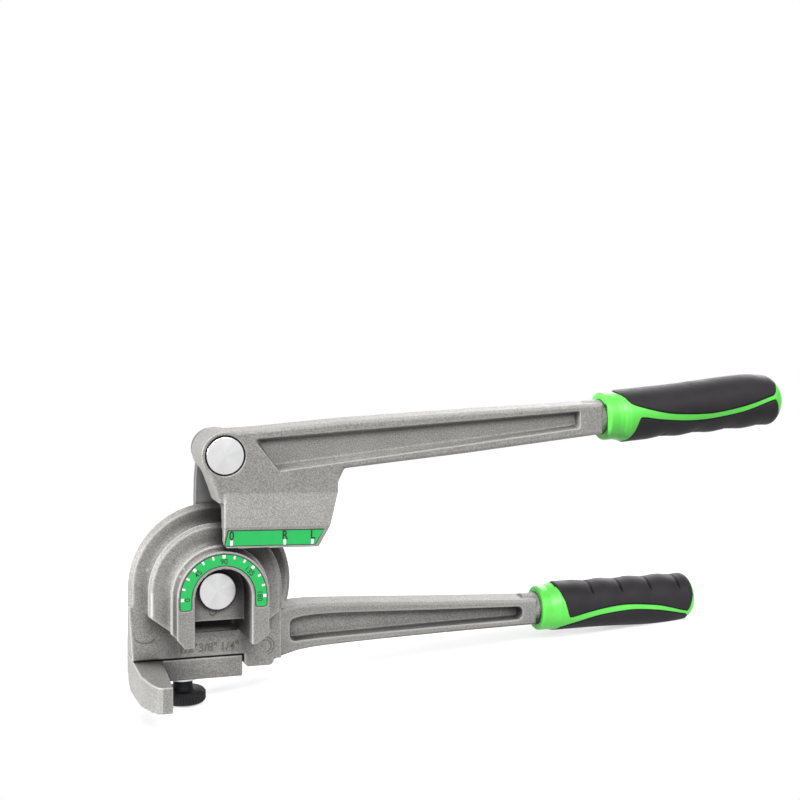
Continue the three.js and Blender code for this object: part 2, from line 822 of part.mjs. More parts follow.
// Turned about the bend axis; a positive angle brings the top over to the right
function leaned(solid, angle) {
  const geometry = geometryOf(solid);
  geometry.rotateY(angle * degree);
  return solidOf(geometry);
}

// Cutter for the lever's pocket: its foot and left walls slope more than the others
function leverHollow() {
  const ring = (corners, y) => roundedPoints(corners, leverPocketCorner)
    .map(([x, z]) => [x, y, z]);
  const mouth = [
    [leverPocketTopX, leverPocketStartTop], [leverPocketEndX, leverPocketEndTop],
    [leverPocketEndX, leverPocketEndFoot], [leverPocketFootX, leverPocketStartFoot],
  ];
  const floor = [
    [leverFloorTopX, leverFloorStartTop], [leverFloorEndX, leverFloorEndTop],
    [leverFloorEndX, leverFloorEndFoot], [leverFloorFootX, leverFloorStartFoot],
  ];
  const floorY = leverFrontY + leverPocketDepth;
  return union(
    wasm.Manifold.hull([...ring(mouth, leverFrontY), ...ring(floor, floorY)]),
    wasm.Manifold.hull([...ring(mouth, leverFrontY - overrun), ...ring(mouth, leverFrontY)]),
  );
}

function leverCasting() {
  const plate = slab(leverOutline(), leverFrontY, leverBackY, leverRound);
  const boss = rodY(bossRadius, leverFrontY, bossBackY, ...upperAxis);
  const head = rodY(pinHeadRadius + counterboreGap, leverFrontY - overrun,
    leverFrontY + pinHeadThickness + seatGap, ...upperAxis);
  const bore = rodY(pinShankRadius + bushWall + seatGap, leverFrontY, bossBackY + overrun,
    ...upperAxis);
  const body = union(plate.subtract(leverHollow()), boss, shoe(), tang(upperGrip));
  return body.subtract(head).subtract(bore);
}

// Pins and what they carry

function pin(headY, axis) {
  const tailY = linkBackY + 2 * seatGap + washerThickness + ringThickness + pinTail;
  const grooveY = tailY - pinTail - ringThickness;
  return turned([
    [0, headY], [pinHeadRadius - pinHeadChamfer, headY], [pinHeadRadius, headY + pinHeadChamfer],
    [pinHeadRadius, headY + pinHeadThickness], [pinShankRadius, headY + pinHeadThickness],
    [pinShankRadius, grooveY - seatGap / 2], [ringGrooveRadius, grooveY - seatGap / 2],
    [ringGrooveRadius, grooveY + ringThickness + seatGap / 2],
    [pinShankRadius, grooveY + ringThickness + seatGap / 2],
    [pinShankRadius, tailY - pinHeadChamfer], [pinShankRadius - pinHeadChamfer, tailY],
    [0, tailY],
  ], ...axis, roundSteps);
}

function retainingRing(x, z) {
  const fromY = linkBackY + 2 * seatGap + washerThickness;
  const ring = tubeY(ringRadius, ringGrooveRadius + seatGap / 2, fromY, fromY + ringThickness,
    x, z);
  const mouth = slab(shapeOf([
    [x - ringMouth / 2, z], [x + ringMouth / 2, z],
    [x + ringMouth / 2, z - ringRadius - overrun], [x - ringMouth / 2, z - ringRadius - overrun],
  ]), fromY - overrun, fromY + ringThickness + overrun);
  return ring.subtract(mouth);
}

function linkPlate() {
  const length = Math.hypot(...upperAxis);
  const lean = Math.atan2(...upperAxis) / degree;
  const outline = shapeOf([
    ...arcPoints(0, length, linkEndRadius, -linkEndTurn, 180 + linkEndTurn),
    [-linkWaist, length - linkBlend], [-linkWaist, linkBlend],
    ...arcPoints(0, 0, linkEndRadius, 180 - linkEndTurn, 360 + linkEndTurn),
    [linkWaist, linkBlend], [linkWaist, length - linkBlend],
  ]);
  const hole = (z) => rodY(pinShankRadius + seatGap / 2, linkFrontY - overrun,
    linkBackY + overrun, 0, z);
  const bar = slab(outline, linkFrontY, linkBackY, linkRound);
  return leaned(bar.subtract(hole(0)).subtract(hole(length)), lean);
}

function bush(fromY, toY, axis) {
  return tubeY(pinShankRadius + bushWall, pinShankRadius + runningGap / 2, fromY, toY, ...axis);
}

function washer(fromY, toY, axis) {
  return tubeY(washerRadius, pinShankRadius + runningGap / 2, fromY, toY, ...axis);
}

// Clamp block: a bar under the die with an arm that reaches forward beside the tube

function clampBlock() {
  const noseY = dieFrontY - blockNoseSet;
  const plan = shapeOf([
    [blockRightX, barBackY], [-blockLeftX, barBackY], [-blockLeftX, dieFrontY + blockHeelSet],
    [-blockFrontX, dieFrontY], [-blockBendX, dieFrontY - blockBendSet],
    [-blockShoulderX, dieFrontY - blockShoulderSet],
    [-blockNoseX, noseY], [-blockNoseCheekX, noseY],
    [-blockCheekX, plateFrontY], [blockRightX, plateFrontY],
  ]);
  const block = column(plan, blockFootZ, blockTopZ);
  const arm = column(shapeOf([
    [-blockNoseCheekX, barBackY], [-blockLeftX, barBackY],
    [-blockLeftX, dieFrontY + blockHeelSet], [-blockFrontX, dieFrontY],
    [-blockBendX, dieFrontY - blockBendSet], [-blockShoulderX, dieFrontY - blockShoulderSet],
    [-blockNoseX, noseY], [-blockNoseCheekX, noseY],
  ]), blockFootZ - blockHeight, blockFootZ + joinDepth);
  const armFoot = beam(shapeOf([
    [noseY, blockFootZ + joinDepth], [noseY, blockFootZ - armNoseDepth],
    [dieFrontY + armMiddleSet, blockFootZ - armMiddleDepth],
    [barBackY - armHeelSet, blockFootZ - armBackDepth],
    [barBackY, blockFootZ - armHeelDepth], [barBackY, blockFootZ + joinDepth],
  ]), -blockLeftX - overrun, -blockNoseCheekX + overrun);
  const flare = solidOf(new ConvexGeometry([
    new THREE.Vector3(-blockCheekX - joinDepth, plateFrontY + joinDepth, blockTopZ),
    new THREE.Vector3(-blockCheekX - joinDepth, plateFrontY + joinDepth, blockFootZ),
    new THREE.Vector3(-blockCheekX + cheekFlare, plateFrontY + joinDepth, blockFootZ),
    new THREE.Vector3(-blockNoseCheekX - joinDepth, noseY, blockFootZ),
    new THREE.Vector3(-blockNoseCheekX - joinDepth, noseY, blockTopZ),
    new THREE.Vector3(-blockNoseCheekX, noseY, blockFootZ),
  ]));
  const lip = slab(shapeOf([
    [-blockLeftX, blockFootZ], [blockRightX, blockFootZ],
    [blockRightX, blockTopZ + guideLipRise], [-blockLeftX, blockTopZ + guideLipRise],
  ]), barBackY + runningGap, barBackY + runningGap + guideLipThickness);
  const join = slab(shapeOf([
    [-blockLeftX, blockFootZ], [blockRightX, blockFootZ],
    [blockRightX, blockTopZ], [-blockLeftX, blockTopZ],
  ]), barBackY - joinDepth, barBackY + runningGap + guideLipThickness);
  const slotRadius = studRadius + studBoreGap;
  const slot = column(shapeOf([
    ...arcPoints(screwX, screwY, slotRadius, 90, 270, coveSteps),
    ...arcPoints(screwX + clampTravel, screwY, slotRadius, -90, 90, coveSteps),
  ]), blockFootZ - overrun, blockTopZ + overrun);
  return union(block, arm.intersect(armFoot), flare, lip, join).subtract(slot);
}

// Thumb screw

function knurledHead(y) {
  const footZ = headTopZ - screwHeadHeight;
  const steps = knurlCount * 2;
  const outline = (cut) => shapeOf(Array.from({ length: steps }, (_, i) => {
    const r = screwHeadRadius - cut - (i % 2 ? knurlDepth : 0);
    const a = 360 * i / steps * degree;
    return [screwX + r * Math.cos(a), y + r * Math.sin(a)];
  }));
  const rim = column(outline(0), footZ + screwHeadChamfer, headTopZ - screwHeadChamfer);
  const core = column(outline(screwHeadChamfer), footZ, headTopZ);
  const neck = rodZ(screwNeckRadius, headTopZ - joinDepth, neckTopZ, screwX, y);
  const socket = rodZ(studRadius + seatGap, headTopZ - studInset - seatGap, neckTopZ + overrun,
    screwX, y);
  return union(rim, core, neck).subtract(socket);
}

// Grips

function gripRadius(grip, share, angle) {
  const palm = gripPalmRadius
    + eased(gripPalmSwell, (share - swellStartShare) / (swellPeakShare - swellStartShare))
    - eased(gripPalmFall, (share - fallStartShare) / (1 - fallStartShare));
  const pitches = (share - dipShare) / dipPitchShare;
  const wave = share < padEndShare && 2 * pitches > -1 ? (1 + Math.cos(2 * Math.PI * pitches)) / 2 : 0;
  const fingers = gripFingerRadius - fingerDip * wave;
  const up = Math.max(0, Math.sin(angle)) ** 2;
  const down = Math.max(0, -Math.sin(angle)) ** 2;
  const body = gripSideRadius + (palm - gripSideRadius) * up + (fingers - gripSideRadius) * down;
  const tail = Math.max(0, (share - tailStartShare) / (1 - tailStartShare));
  const round = body * Math.sqrt(1 - (1 - tailFlatShare) * tail * tail);
  const collar = Math.min(1,
    Math.max(0, (collarEndShare - share) / (collarEndShare - collarFlatShare)));
  return grip.scale * (round + (gripCollarRadius - round) * collar);
}

function gripPoint(grip, share, angle, radius) {
  return new THREE.Vector3(
    share * grip.length, -radius * Math.cos(angle), grip.side * radius * Math.sin(angle),
  );
}

function gripSection(grip, share, inset) {
  return Array.from({ length: gripSteps }, (_, j) => {
    const angle = 2 * Math.PI * j / gripSteps;
    return gripPoint(grip, share, angle, gripRadius(grip, share, angle) - inset);
  });
}

const gripShares = [0, 0.02, 0.055, 0.07, 0.085, 0.1, 0.115, 0.13, 0.142, 0.153, 0.165, 0.177,
  0.2, 0.23, 0.265, 0.3, 0.35, 0.4, 0.45, 0.5, 0.55, 0.6, 0.65, 0.7, 0.75, 0.8, 0.85, 0.9,
  0.925, 0.94, 0.95, 0.98, 0.993, 1];

function gripBlank(grip, inset = 0) {
  return outward(loft(gripShares.map((share) => gripSection(grip, share, inset)), fanCap));
}

// Where each pad starts and the angle of its edge; the rear face mirrors the front one
const palmPad = {
  name: 'palm', turn: 1, start: palmStartShare, edge: smooth(palmEdgeShares, palmEdgeAngles),
};
const fingerPad = {
  name: 'finger', turn: -1, start: fingerStartShare,
  edge: smooth(fingerEdgeShares, fingerEdgeAngles),
};

// One pad: a shell between its front and rear edges.
// With a gap it is the recess in the sleeve that takes the pad.
function padShell(grip, pad, gap = 0) {
  const nudge = gap / grip.length;
  const widening = gap / (gripSideRadius * grip.scale);
  const ring = (share) => {
    const nearby = [share - nudge, share, share + nudge].map(
      (s) => pad.edge(Math.min(Math.max(s, pad.start), padEndShare)));
    const low = Math.min(...nearby) * degree - widening;
    const angles = Array.from({ length: padSteps + 1 },
      (_, i) => pad.turn * (low + (Math.PI - 2 * low) * i / padSteps));
    const line = (extra) => angles.map(
      (angle) => gripPoint(grip, share, angle, gripRadius(grip, share, angle) + extra));
    const outer = line(gap > 0 ? overrun : 0);
    const inner = line(-padThickness * grip.scale - gap);
    return [...outer, ...inner.reverse()];
  };
  const rings = gripShares.filter((s) => s >= pad.start && s <= padEndShare).map(ring);
  const moved = (points, x) => points.map((p) => p.clone().setX(p.x + x));
  if (gap > 0) {
    rings.unshift(moved(rings[0], -gap));
    rings.push(moved(rings[rings.length - 1], gap));
  }
  return outward(loft(rings, bandCap));
}

function placeGrip(grip) {
  const group = new THREE.Group();
  group.applyMatrix4(gripMatrix(grip));
  bender.add(group);
  const bore = solidOf(rodX(gripBoreRadius * grip.scale, -overrun, grip.length - gripBoreEnd));
  const mouth = solidOf(rodX(shoulderRadius * grip.scale + seatGap, -overrun, mouthDepth));
  const sleeve = gripBlank(grip)
    .subtract(padShell(grip, palmPad, seatGap))
    .subtract(padShell(grip, fingerPad, seatGap))
    .subtract(bore)
    .subtract(mouth);
  place(`${grip.name}_grip_sleeve`, 'greenGrip', sleeve, group);
  for (const pad of [palmPad, fingerPad]) {
    place(`${grip.name}_grip_${pad.name}_pad`, 'pad', padShell(grip, pad), group);
  }
}

// Assembly

const washerFromY = linkBackY + seatGap;

place('former_body', 'casting', formerBody());
place('angle_scale_plate', 'greenPlate',
  slab(dialShape(), dieFrontY, dieFrontY + dialThickness - dialSink));
place('lower_pin', 'steel', pin(0, lowerAxis));
place('lower_bush', 'bronze', bush(webFrontY, plateBackY, lowerAxis));
place('lower_spacer_washer', 'zinc',
  washer(plateBackY + spacerPlay, linkFrontY - spacerPlay, lowerAxis));
place('lower_rear_washer', 'zinc', washer(washerFromY, washerFromY + washerThickness, lowerAxis));
place('lower_retaining_ring', 'spring', retainingRing(...lowerAxis));
place('link_plate', 'zinc', linkPlate());
place('upper_pin', 'steel', pin(leverFrontY, upperAxis));
place('upper_bush', 'bronze',
  bush(leverFrontY + pinHeadThickness + seatGap, bossBackY, upperAxis));
place('upper_spacer_washer', 'zinc',
  washer(bossBackY + spacerPlay, linkFrontY - spacerPlay, upperAxis));
place('upper_rear_washer', 'zinc', washer(washerFromY, washerFromY + washerThickness, upperAxis));
place('upper_retaining_ring', 'spring', retainingRing(...upperAxis));
place('lever_casting', 'casting', leverCasting());
place('shoe_scale_strip', 'greenPlate',
  leaned(slab(stripShape(), dieFrontY, dieFrontY + stripThickness - dialSink), shoeTilt));
place('clamp_block', 'casting', clampBlock());
place('thumb_screw_washer', 'zinc',
  rodZ(screwWasherRadius, washerFootZ, blockFootZ - runningGap, screwX, screwY)
    .subtract(rodZ(studRadius + seatGap, washerFootZ - overrun, blockFootZ, screwX, screwY)));
place('thumb_screw_knob', 'black', knurledHead(screwY));
place('thumb_screw_stud', 'zinc', rodZ(studRadius, headTopZ - studInset,
  plateTopZ + studEngagement - seatGap, screwX, screwY));
placeGrip(lowerGrip);
placeGrip(upperGrip);

export default bender;
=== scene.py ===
# Looks of a hand tube bender: castings, turned pins, scales, two-tone grips and a thumb screw.
# Lengths are millimetres until a mesh is made. X runs along the handles, Y away from the dial.
import math

import bmesh
import bpy
from mathutils import Matrix, Vector

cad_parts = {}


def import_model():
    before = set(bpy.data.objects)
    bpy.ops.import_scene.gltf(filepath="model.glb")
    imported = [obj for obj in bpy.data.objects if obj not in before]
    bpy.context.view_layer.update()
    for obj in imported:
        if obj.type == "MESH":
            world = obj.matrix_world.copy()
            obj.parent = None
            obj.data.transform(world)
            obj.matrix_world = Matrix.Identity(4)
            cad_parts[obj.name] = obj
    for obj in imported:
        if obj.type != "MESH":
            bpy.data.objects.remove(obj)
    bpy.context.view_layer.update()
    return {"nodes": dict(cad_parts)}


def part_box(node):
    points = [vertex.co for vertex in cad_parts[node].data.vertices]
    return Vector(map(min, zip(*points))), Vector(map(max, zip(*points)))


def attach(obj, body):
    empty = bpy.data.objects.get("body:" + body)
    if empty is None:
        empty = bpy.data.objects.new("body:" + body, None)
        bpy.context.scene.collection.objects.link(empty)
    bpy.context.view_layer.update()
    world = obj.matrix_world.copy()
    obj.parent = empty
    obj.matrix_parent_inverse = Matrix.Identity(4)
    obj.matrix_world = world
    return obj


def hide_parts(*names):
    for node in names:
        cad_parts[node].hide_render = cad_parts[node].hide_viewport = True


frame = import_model()

MM = 0.001

# Camera, found from the tool's own edges in the photograph
CAMERA_PLACE = (-148.3, -748.4, 167.7)
CAMERA_YAW = 18.67
CAMERA_PITCH = 4.62
CAMERA_ROLL = 0.59
CAMERA_FOCUS_PIXELS = 1396
PICTURE_PIXELS = 800
SENSOR_WIDTH = 36
CAMERA_NEAR = 0.01

# Front faces that carry the scales and marks
DIE_FRONT = -17.0
PLATE_FRONT = 18.68
WEB_FRONT = 3.9
LEVER_FRONT = -12.0

# Dial: its size, its ticks' widths and heights, and its numbers, which read in degrees
DIAL_OUTER = 23.8
DIAL_INNER = 17.3
DIAL_FOOT = -6.0
DIAL_CORNER = 1.6
DIAL_END = 180
DIAL_TICK_STEP = 15
DIAL_LONG_STEP = 45
DIAL_TICK_RADIUS = 22.45
DIAL_LONG_TICK = (1.7, 1.8)
DIAL_SHORT_TICK = (1.1, 1.9)
DIAL_LABELS = {0: "0", 45: "45", 90: "90", 135: "135", 180: "180"}
DIAL_LABEL_RADIUS = 19.6
DIAL_LABEL_HEIGHT = 3.0
DIAL_LABEL_WEIGHT = 0.03

# Scale plates and their print
SCALE_PROUD = 0.08
SCALE_SINK = 0.4
SCALE_BORDER = 0.35
SCALE_EDGE = 0.05
PRINT_THICKNESS = 0.03
FONT_CAP_SHARE = 0.73
FONT_STEPS = 4

# Shoe strip: its marks' X places, from the bend axis
STRIP_TILT = 1.6
STRIP_CORNER_REACH = 1.0
STRIP_MARKS = {"0": 3.2, "R": 32.6, "L": 48.2}
STRIP_LABEL_HEIGHT = 4.8
STRIP_LABEL_WEIGHT = 0.2
STRIP_LABEL_WIDTH = 0.82
STRIP_TICK_SIZE = (1.5, 3.0)

# Marks of the mould: size marks, and the rings and arcs that its ejectors leave
SIZE_MARKS = {"1/2": -13.2, "3/8": -1.9, "1/4": 10.4}
SIZE_MARK_RISE = -36.2
SIZE_MARK_HEIGHT = 4.9
SIZE_MARK_WEIGHT = 0.03
MOULD_ARCS = {
    "plate_outer": {"face": PLATE_FRONT, "place": (31.3, -37.5), "radius": 5.2,
                    "turns": (-75, 105)},
    "plate_inner": {"face": PLATE_FRONT, "place": (31.3, -37.5), "radius": 3.6,
                    "turns": (-80, 120)},
    "plate_left": {"face": PLATE_FRONT, "place": (-37, -23.4), "radius": 7.9,
                   "turns": (222, 312)},
    "web": {"face": WEB_FRONT, "place": (-2.1, -12.2), "radius": 2.3, "turns": (-150, 120)},
}
MOULD_LINE = 0.4
MARK_PROUD = 0.2

# Pins, washers, retaining rings and link
LOWER_AXIS = (0, 0)
UPPER_AXIS = (1.8, 76.3)
PIN_HEAD_RADIUS = 10.2
PIN_HEAD_THICKNESS = 3.6
PIN_SHANK_RADIUS = 7.0
PIN_PLAY = 0.15
RING_GROOVE_RADIUS = 6.0
RING_OUTER_RADIUS = 9.0
RING_MOUTH_TURN = 270
RING_MOUTH = 33
RING_EYE = 12
EDGE_ROUND = 0.45
RING_EDGE = 0.2
FLAT_EDGE_SHARE = 0.25
LINK_EDGE = 0.7
COUNTERBORE_RADIUS = 11.0
COUNTERBORE_DEPTH = 3.9
COUNTERBORE_CHAMFER = 0.45
LINK_END_RADIUS = 11.3
LINK_END_TURN = 40
LINK_WAIST = 9.3
LINK_BLEND = 17.0

# Thumb screw
SCREW_PLACE = (-14.3, 29.68)
KNOB_RADIUS = 13.0
KNOB_FOOT_ROUND = 1.4
KNOB_TOP_ROUND = 1.2
KNOB_NECK_RADIUS = 5.5
KNOB_NECK_COVE = 1.5
KNOB_HEIGHT = 7.0
KNOB_CORNER = 0.6
KNURL_COUNT = 44
KNURL_STEPS = 8
KNURL_DEPTH = 0.45
KNURL_MARGIN = 0.8
KNURL_BAND = 1.0
STUD_CHAMFER = 0.7
SCREW_WASHER_EDGE = 0.3
SCREW_WASHER_PLAY = 0.3

# Grips: radii before the scale of each grip, and shares of its length
GRIP_ROLL = 10.0
MOUTH_RADIUS = 10.7
MOUTH_DEPTH = 3.5
MOUTH_ROUND = 0.9
MOUTH_ROUND_RUN = 1.4
COLLAR_RADIUS = 14.3
COLLAR_SHARES = (0.055, 0.11)
COLLAR_RINGS = ((9.5, 0.16), (13.0, 0.16))
COLLAR_RING_RUN = 0.5
SIDE_RADIUS = 15.5
PALM_RADIUS = 14.6
PALM_SWELL = 1.6
PALM_FALL = 2.4
FINGER_RADIUS = 16.4
FINGER_DIP = 0.9
SWELL_SHARES = (0.3, 0.78)
FALL_SHARES = (0.8, 1.0)
DIP_SHARE = 0.32
DIP_PITCH_SHARE = 0.185
TAIL_START_SHARE = 0.92
TAIL_FLAT_SHARE = 0.06
GRIPS = {
    "lower": {"start": (204.4, 30.68, -29.3), "tilt": 0.5, "length": 108.4, "scale": 0.95,
              "side": -1, "body": "former"},
    "upper": {"start": (230.0, -1.0, 92.1), "tilt": 4.5, "length": 121.6, "scale": 1.0,
              "side": 1, "body": "lever"},
}

# Pads: where their edge runs, as shares of the grip's length and as angles round the grip
# from the middle of its front towards the pad
PAD_END_SHARE = 0.95
PADS = {
    "palm": {"turn": 1,
             "shares": (0.07, 0.1, 0.13, 0.25, 0.36, 0.5, 0.6, 0.75, 0.88, 0.92, 0.95),
             "angles": (84, 58, 37, 17, 6, 0, 0, 8, 21, 28, 56)},
    "finger": {"turn": -1,
               "shares": (0.1, 0.13, 0.153, 0.177, 0.28, 0.41, 0.535, 0.7, 0.79, 0.9, 0.925,
                        0.95),
               "angles": (78, 36, 2, -4, 5.5, 14, 16.5, 10, 2, -11, -8, 26)},
}
PAD_RISE = 0.3
PAD_SINK = 0.5
PAD_EDGE = 1.1
PAD_THICKNESS = 1.4
# The black band round each pad, painted shade for the groove at its edge: its width, rise and
# thickness
SEAM_WIDTH = 0.45
SEAM_RISE = 0.07
SEAM_THICKNESS = 0.6
CREASE_SHARES = (0.32, 0.505, 0.69, 0.875)
CREASE_DEPTH = 1.0
CREASE_RUN = 0.028
CREASE_STEP = 0.004
CREASE_SPREAD = (0.62, 0.9)

# Mesh fineness
TURN_STEPS = 96
ARC_STEPS = 40
CORNER_STEPS = 4
SPLINE_STEPS = 200
CAST_VOXEL = 0.5
CAST_ROUNDS = 2
CAST_SMOOTH_SHARE = 0.5
BEVEL_STEPS = 3
BEVEL_ANGLE = 40
GRIP_RINGS = 200
GRIP_STEPS = 128
TAIL_RINGS_SHARE = 0.9
PAD_ACROSS = 72
PAD_ALONG = 260
SEAM_ALONG = 200

# Edges that turn by more than these angles stay sharp in the shading
SHARP_ANGLE = 35
CAST_SHARP_ANGLE = 60
SHELL_SHARP_ANGLE = 40
PAD_SHARP_ANGLE = 50


# Meshes

def finished(obj, finish, body, nodes=(), sharp=SHARP_ANGLE):
    """Gives a piece its finish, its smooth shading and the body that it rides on."""
    obj.data.materials.clear()
    obj.data.materials.append(finish)
    obj.data.shade_smooth()
    obj.data.set_sharp_from_angle(angle=math.radians(sharp))
    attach(obj, body)
    if nodes:
        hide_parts(*nodes)
    return obj


def linked(name, mesh):
    obj = bpy.data.objects.new(name, mesh)
    bpy.context.collection.objects.link(obj)
    return obj


def made(name, points, faces):
    """A mesh object from points in millimetres."""
    mesh = bpy.data.meshes.new(name)
    mesh.from_pydata([Vector(p) * MM for p in points], [], faces)
    mesh.validate()
    return linked(name, mesh)


def outward(obj):
    """Turns a closed mesh's faces to point out."""
    shape = bmesh.new()
    shape.from_mesh(obj.data)
    bmesh.ops.recalc_face_normals(shape, faces=shape.faces)
    shape.to_mesh(obj.data)
    shape.free()
    return obj


def applied(obj):
    """Turns what the modifiers make of an object into its own mesh."""
    graph = bpy.context.evaluated_depsgraph_get()
    mesh = bpy.data.meshes.new_from_object(obj.evaluated_get(graph))
    obj.modifiers.clear()
    obj.data = mesh
    return obj


def filleted(points, radius):
    """An open outline with its inner corners rounded."""
    out = [Vector(points[0])]
    for before, corner, after in zip(points, points[1:], points[2:]):
        corner = Vector(corner)
        back = Vector(before) - corner
        onward = Vector(after) - corner
        half = back.angle(onward) / 2
        reach = min(radius / math.tan(half), back.length / 2, onward.length / 2)
        start = corner + back.normalized() * reach
        end = corner + onward.normalized() * reach
        for i in range(CORNER_STEPS + 1):
            t = i / CORNER_STEPS
            out.append(start.lerp(corner, t).lerp(corner.lerp(end, t), t))
    return out + [Vector(points[-1])]


def arc(x, z, radius, start, end, steps=ARC_STEPS):
    """Points of an arc in the XZ plane, angles in degrees."""
    angles = [math.radians(start + (end - start) * i / steps) for i in range(steps + 1)]
    return [(x + radius * math.cos(a), z + radius * math.sin(a)) for a in angles]


def box_outline(left, foot, right, top):
    return [(left, foot), (right, foot), (right, top), (left, top)]


def turned(name, profile, place, axis="Y", closed=False, steps=TURN_STEPS, radius_at=None):
    """A profile of (radius, distance) points turned round an axis; an open one ends on it."""
    points = []
    rings = []
    for r, t in profile:
        ring = []
        for i in range(steps if r else 1):
            angle = 2 * math.pi * i / steps
            reach = radius_at(r, t, angle) if radius_at else r
            a = place[0] + reach * math.cos(angle)
            b = place[1] + reach * math.sin(angle)
            ring.append(len(points))
            points.append((a, t, b) if axis == "Y" else (a, b, t))
        rings.append(ring)
    pairs = list(zip(rings, rings[1:]))
    if closed:
        pairs.append((rings[-1], rings[0]))
    faces = []
    for low, high in pairs:
        for i in range(steps):
            j = i + 1
            corners = [low[i % len(low)], low[j % len(low)]]
            corners += [high[j % len(high)], high[i % len(high)]]
            faces.append(list(dict.fromkeys(corners)))
    return outward(made(name, points, [f for f in faces if len(f) > 2]))


def slab(name, outline, front, back, edge=0.0, turn=None):
    """An outline in the XZ plane made solid from front to back, with its edges rounded."""
    count = len(outline)
    points = [(x, y, z) for y in (front, back) for x, z in outline]
    faces = [list(range(count)), list(range(2 * count - 1, count - 1, -1))]
    faces += [[i, count + i, count + (i + 1) % count, (i + 1) % count] for i in range(count)]
    obj = outward(made(name, points, faces))
    if edge:
        bevel = obj.modifiers.new("edge", "BEVEL")
        bevel.width = edge * MM
        bevel.segments = BEVEL_STEPS
        bevel.limit_method = "ANGLE"
        bevel.angle_limit = math.radians(BEVEL_ANGLE)
        applied(obj)
    if turn:
        obj.data.transform(turn)
    return obj


def cast_skin(name, node):
    """A casting with the rounded edges and corners that the mould gives it."""
    obj = linked(name, frame["nodes"][node].data.copy())
    remesh = obj.modifiers.new("voxels", "REMESH")
    remesh.mode = "VOXEL"
    remesh.voxel_size = CAST_VOXEL * MM
    smooth = obj.modifiers.new("smooth", "SMOOTH")
    smooth.factor = CAST_SMOOTH_SHARE
    smooth.iterations = CAST_ROUNDS
    return applied(obj)


def cut(obj, cutter):
    """Takes a machined hole out of a casting."""
    hole = obj.modifiers.new("hole", "BOOLEAN")
    hole.operation = "DIFFERENCE"
    hole.solver = "MANIFOLD"
    hole.object = cutter
    applied(obj)
    bpy.data.objects.remove(cutter)
    return obj


def label(name, text, height, place, lean, finish, body, weight=0.0, turn=None,
          width=1.0, thickness=PRINT_THICKNESS):
    """Printed or stamped characters that face the front, turned clockwise by the lean."""
    curve = bpy.data.curves.new(name, "FONT")
    curve.body = text
    curve.size = height * MM / FONT_CAP_SHARE
    curve.align_x = "CENTER"
    curve.align_y = "CENTER"
    curve.extrude = thickness * MM
    curve.offset = weight * MM
    curve.resolution_u = FONT_STEPS
    writer = linked(name + "_text", curve)
    bpy.context.view_layer.update()
    graph = bpy.context.evaluated_depsgraph_get()
    mesh = bpy.data.meshes.new_from_object(writer.evaluated_get(graph))
    bpy.data.objects.remove(writer)
    upright = Matrix.Rotation(math.radians(90), 4, "X") @ Matrix.Scale(width, 4, (1, 0, 0))
    mesh.transform(Matrix.Rotation(math.radians(lean), 4, "Y") @ upright)
    mesh.transform(Matrix.Translation(Vector(place) * MM))
    if turn:
        mesh.transform(turn)
    return finished(linked(name, mesh), finish, body)


# Finishes

# Patterns: waves for a metre, how many finer layers they have and how rough those are
GRAIN = (1300, 3.0, 0.7)
MOTTLE = (70, 4.0, 0.6)
PEBBLES = (1900, 2.0, 0.6)
STEEL_STAIN = (160, 3.0, 0.5)
STEEL_SATIN = (3500, 1.0, 0.5)
STEEL_STREAKS_AND_SHEEN = (1.6, 2.0, 0.6)
PAINT_WAVER = (260, 2.0, 0.5)
SHELL_WAVER = (140, 3.0, 0.5)
SHELL_PEEL = (420, 2.0, 0.5)

# The part of a pattern's range that is spread from 0 to 1
NOISE_BAND = (0.3, 0.7)
GRAIN_BAND = (0.4, 0.6)
STAIN_BAND = (0.35, 0.7)
EDGE_BAND = (0.5, 0.5625)
RECESS_BAND = (0.34, 0.62)

# How much each pattern counts, and what is left of a colour where it is at its darkest
GRAIN_SHARE = 0.8
STREAK_AND_SHEEN_SHARE = 0.6
CLOUD_SHARE = 0.7
CAST_EDGE_WEAR_AND_HIGHLIGHT = 0.85
RUBBER_EDGE_DUST_AND_HIGHLIGHT = 0.5
PAINTED_HOLLOW_SHADE = 0.14
STREAK_SHADE = 0.82
WAVER_SHADE = 0.95
# Painted shade in hollows: how far it looks for cover, and how many samples it takes
RECESS_REACH = 45.0
RECESS_SAMPLES = 8

# Surfaces: roughness where a pattern is low and high, and the height of reliefs in metres
CAST_METALLIC = 0.1
CAST_ROUGHNESS = (0.7, 0.5)
SHELL_ROUGHNESS = (0.36, 0.48)
RUBBER_ROUGHNESS = (0.5, 0.66)
STEEL_SPREAD = (0.8, 1.25)
PAINT_SPREAD = 0.1
PAINT_COAT = 0.15
CAST_RELIEF = 0.00009
RUBBER_RELIEF = 0.00006
SHELL_RELIEF = 0.00004
STEEL_RELIEF = 0.00002
PIN_RELIEF = 0.00001


class Socket:
    """A number that a material works out; sums of these add its Math nodes."""

    def __init__(self, finish, socket):
        self.finish = finish
        self.socket = socket

    def __add__(self, other):
        return self.finish.maths("ADD", self, other)

    def __rsub__(self, other):
        return self.finish.maths("SUBTRACT", other, self)

    def __mul__(self, other):
        return self.finish.maths("MULTIPLY", self, other)

    def clamped(self):
        return self.finish.node("ShaderNodeClamp", {}, {"Value": self})


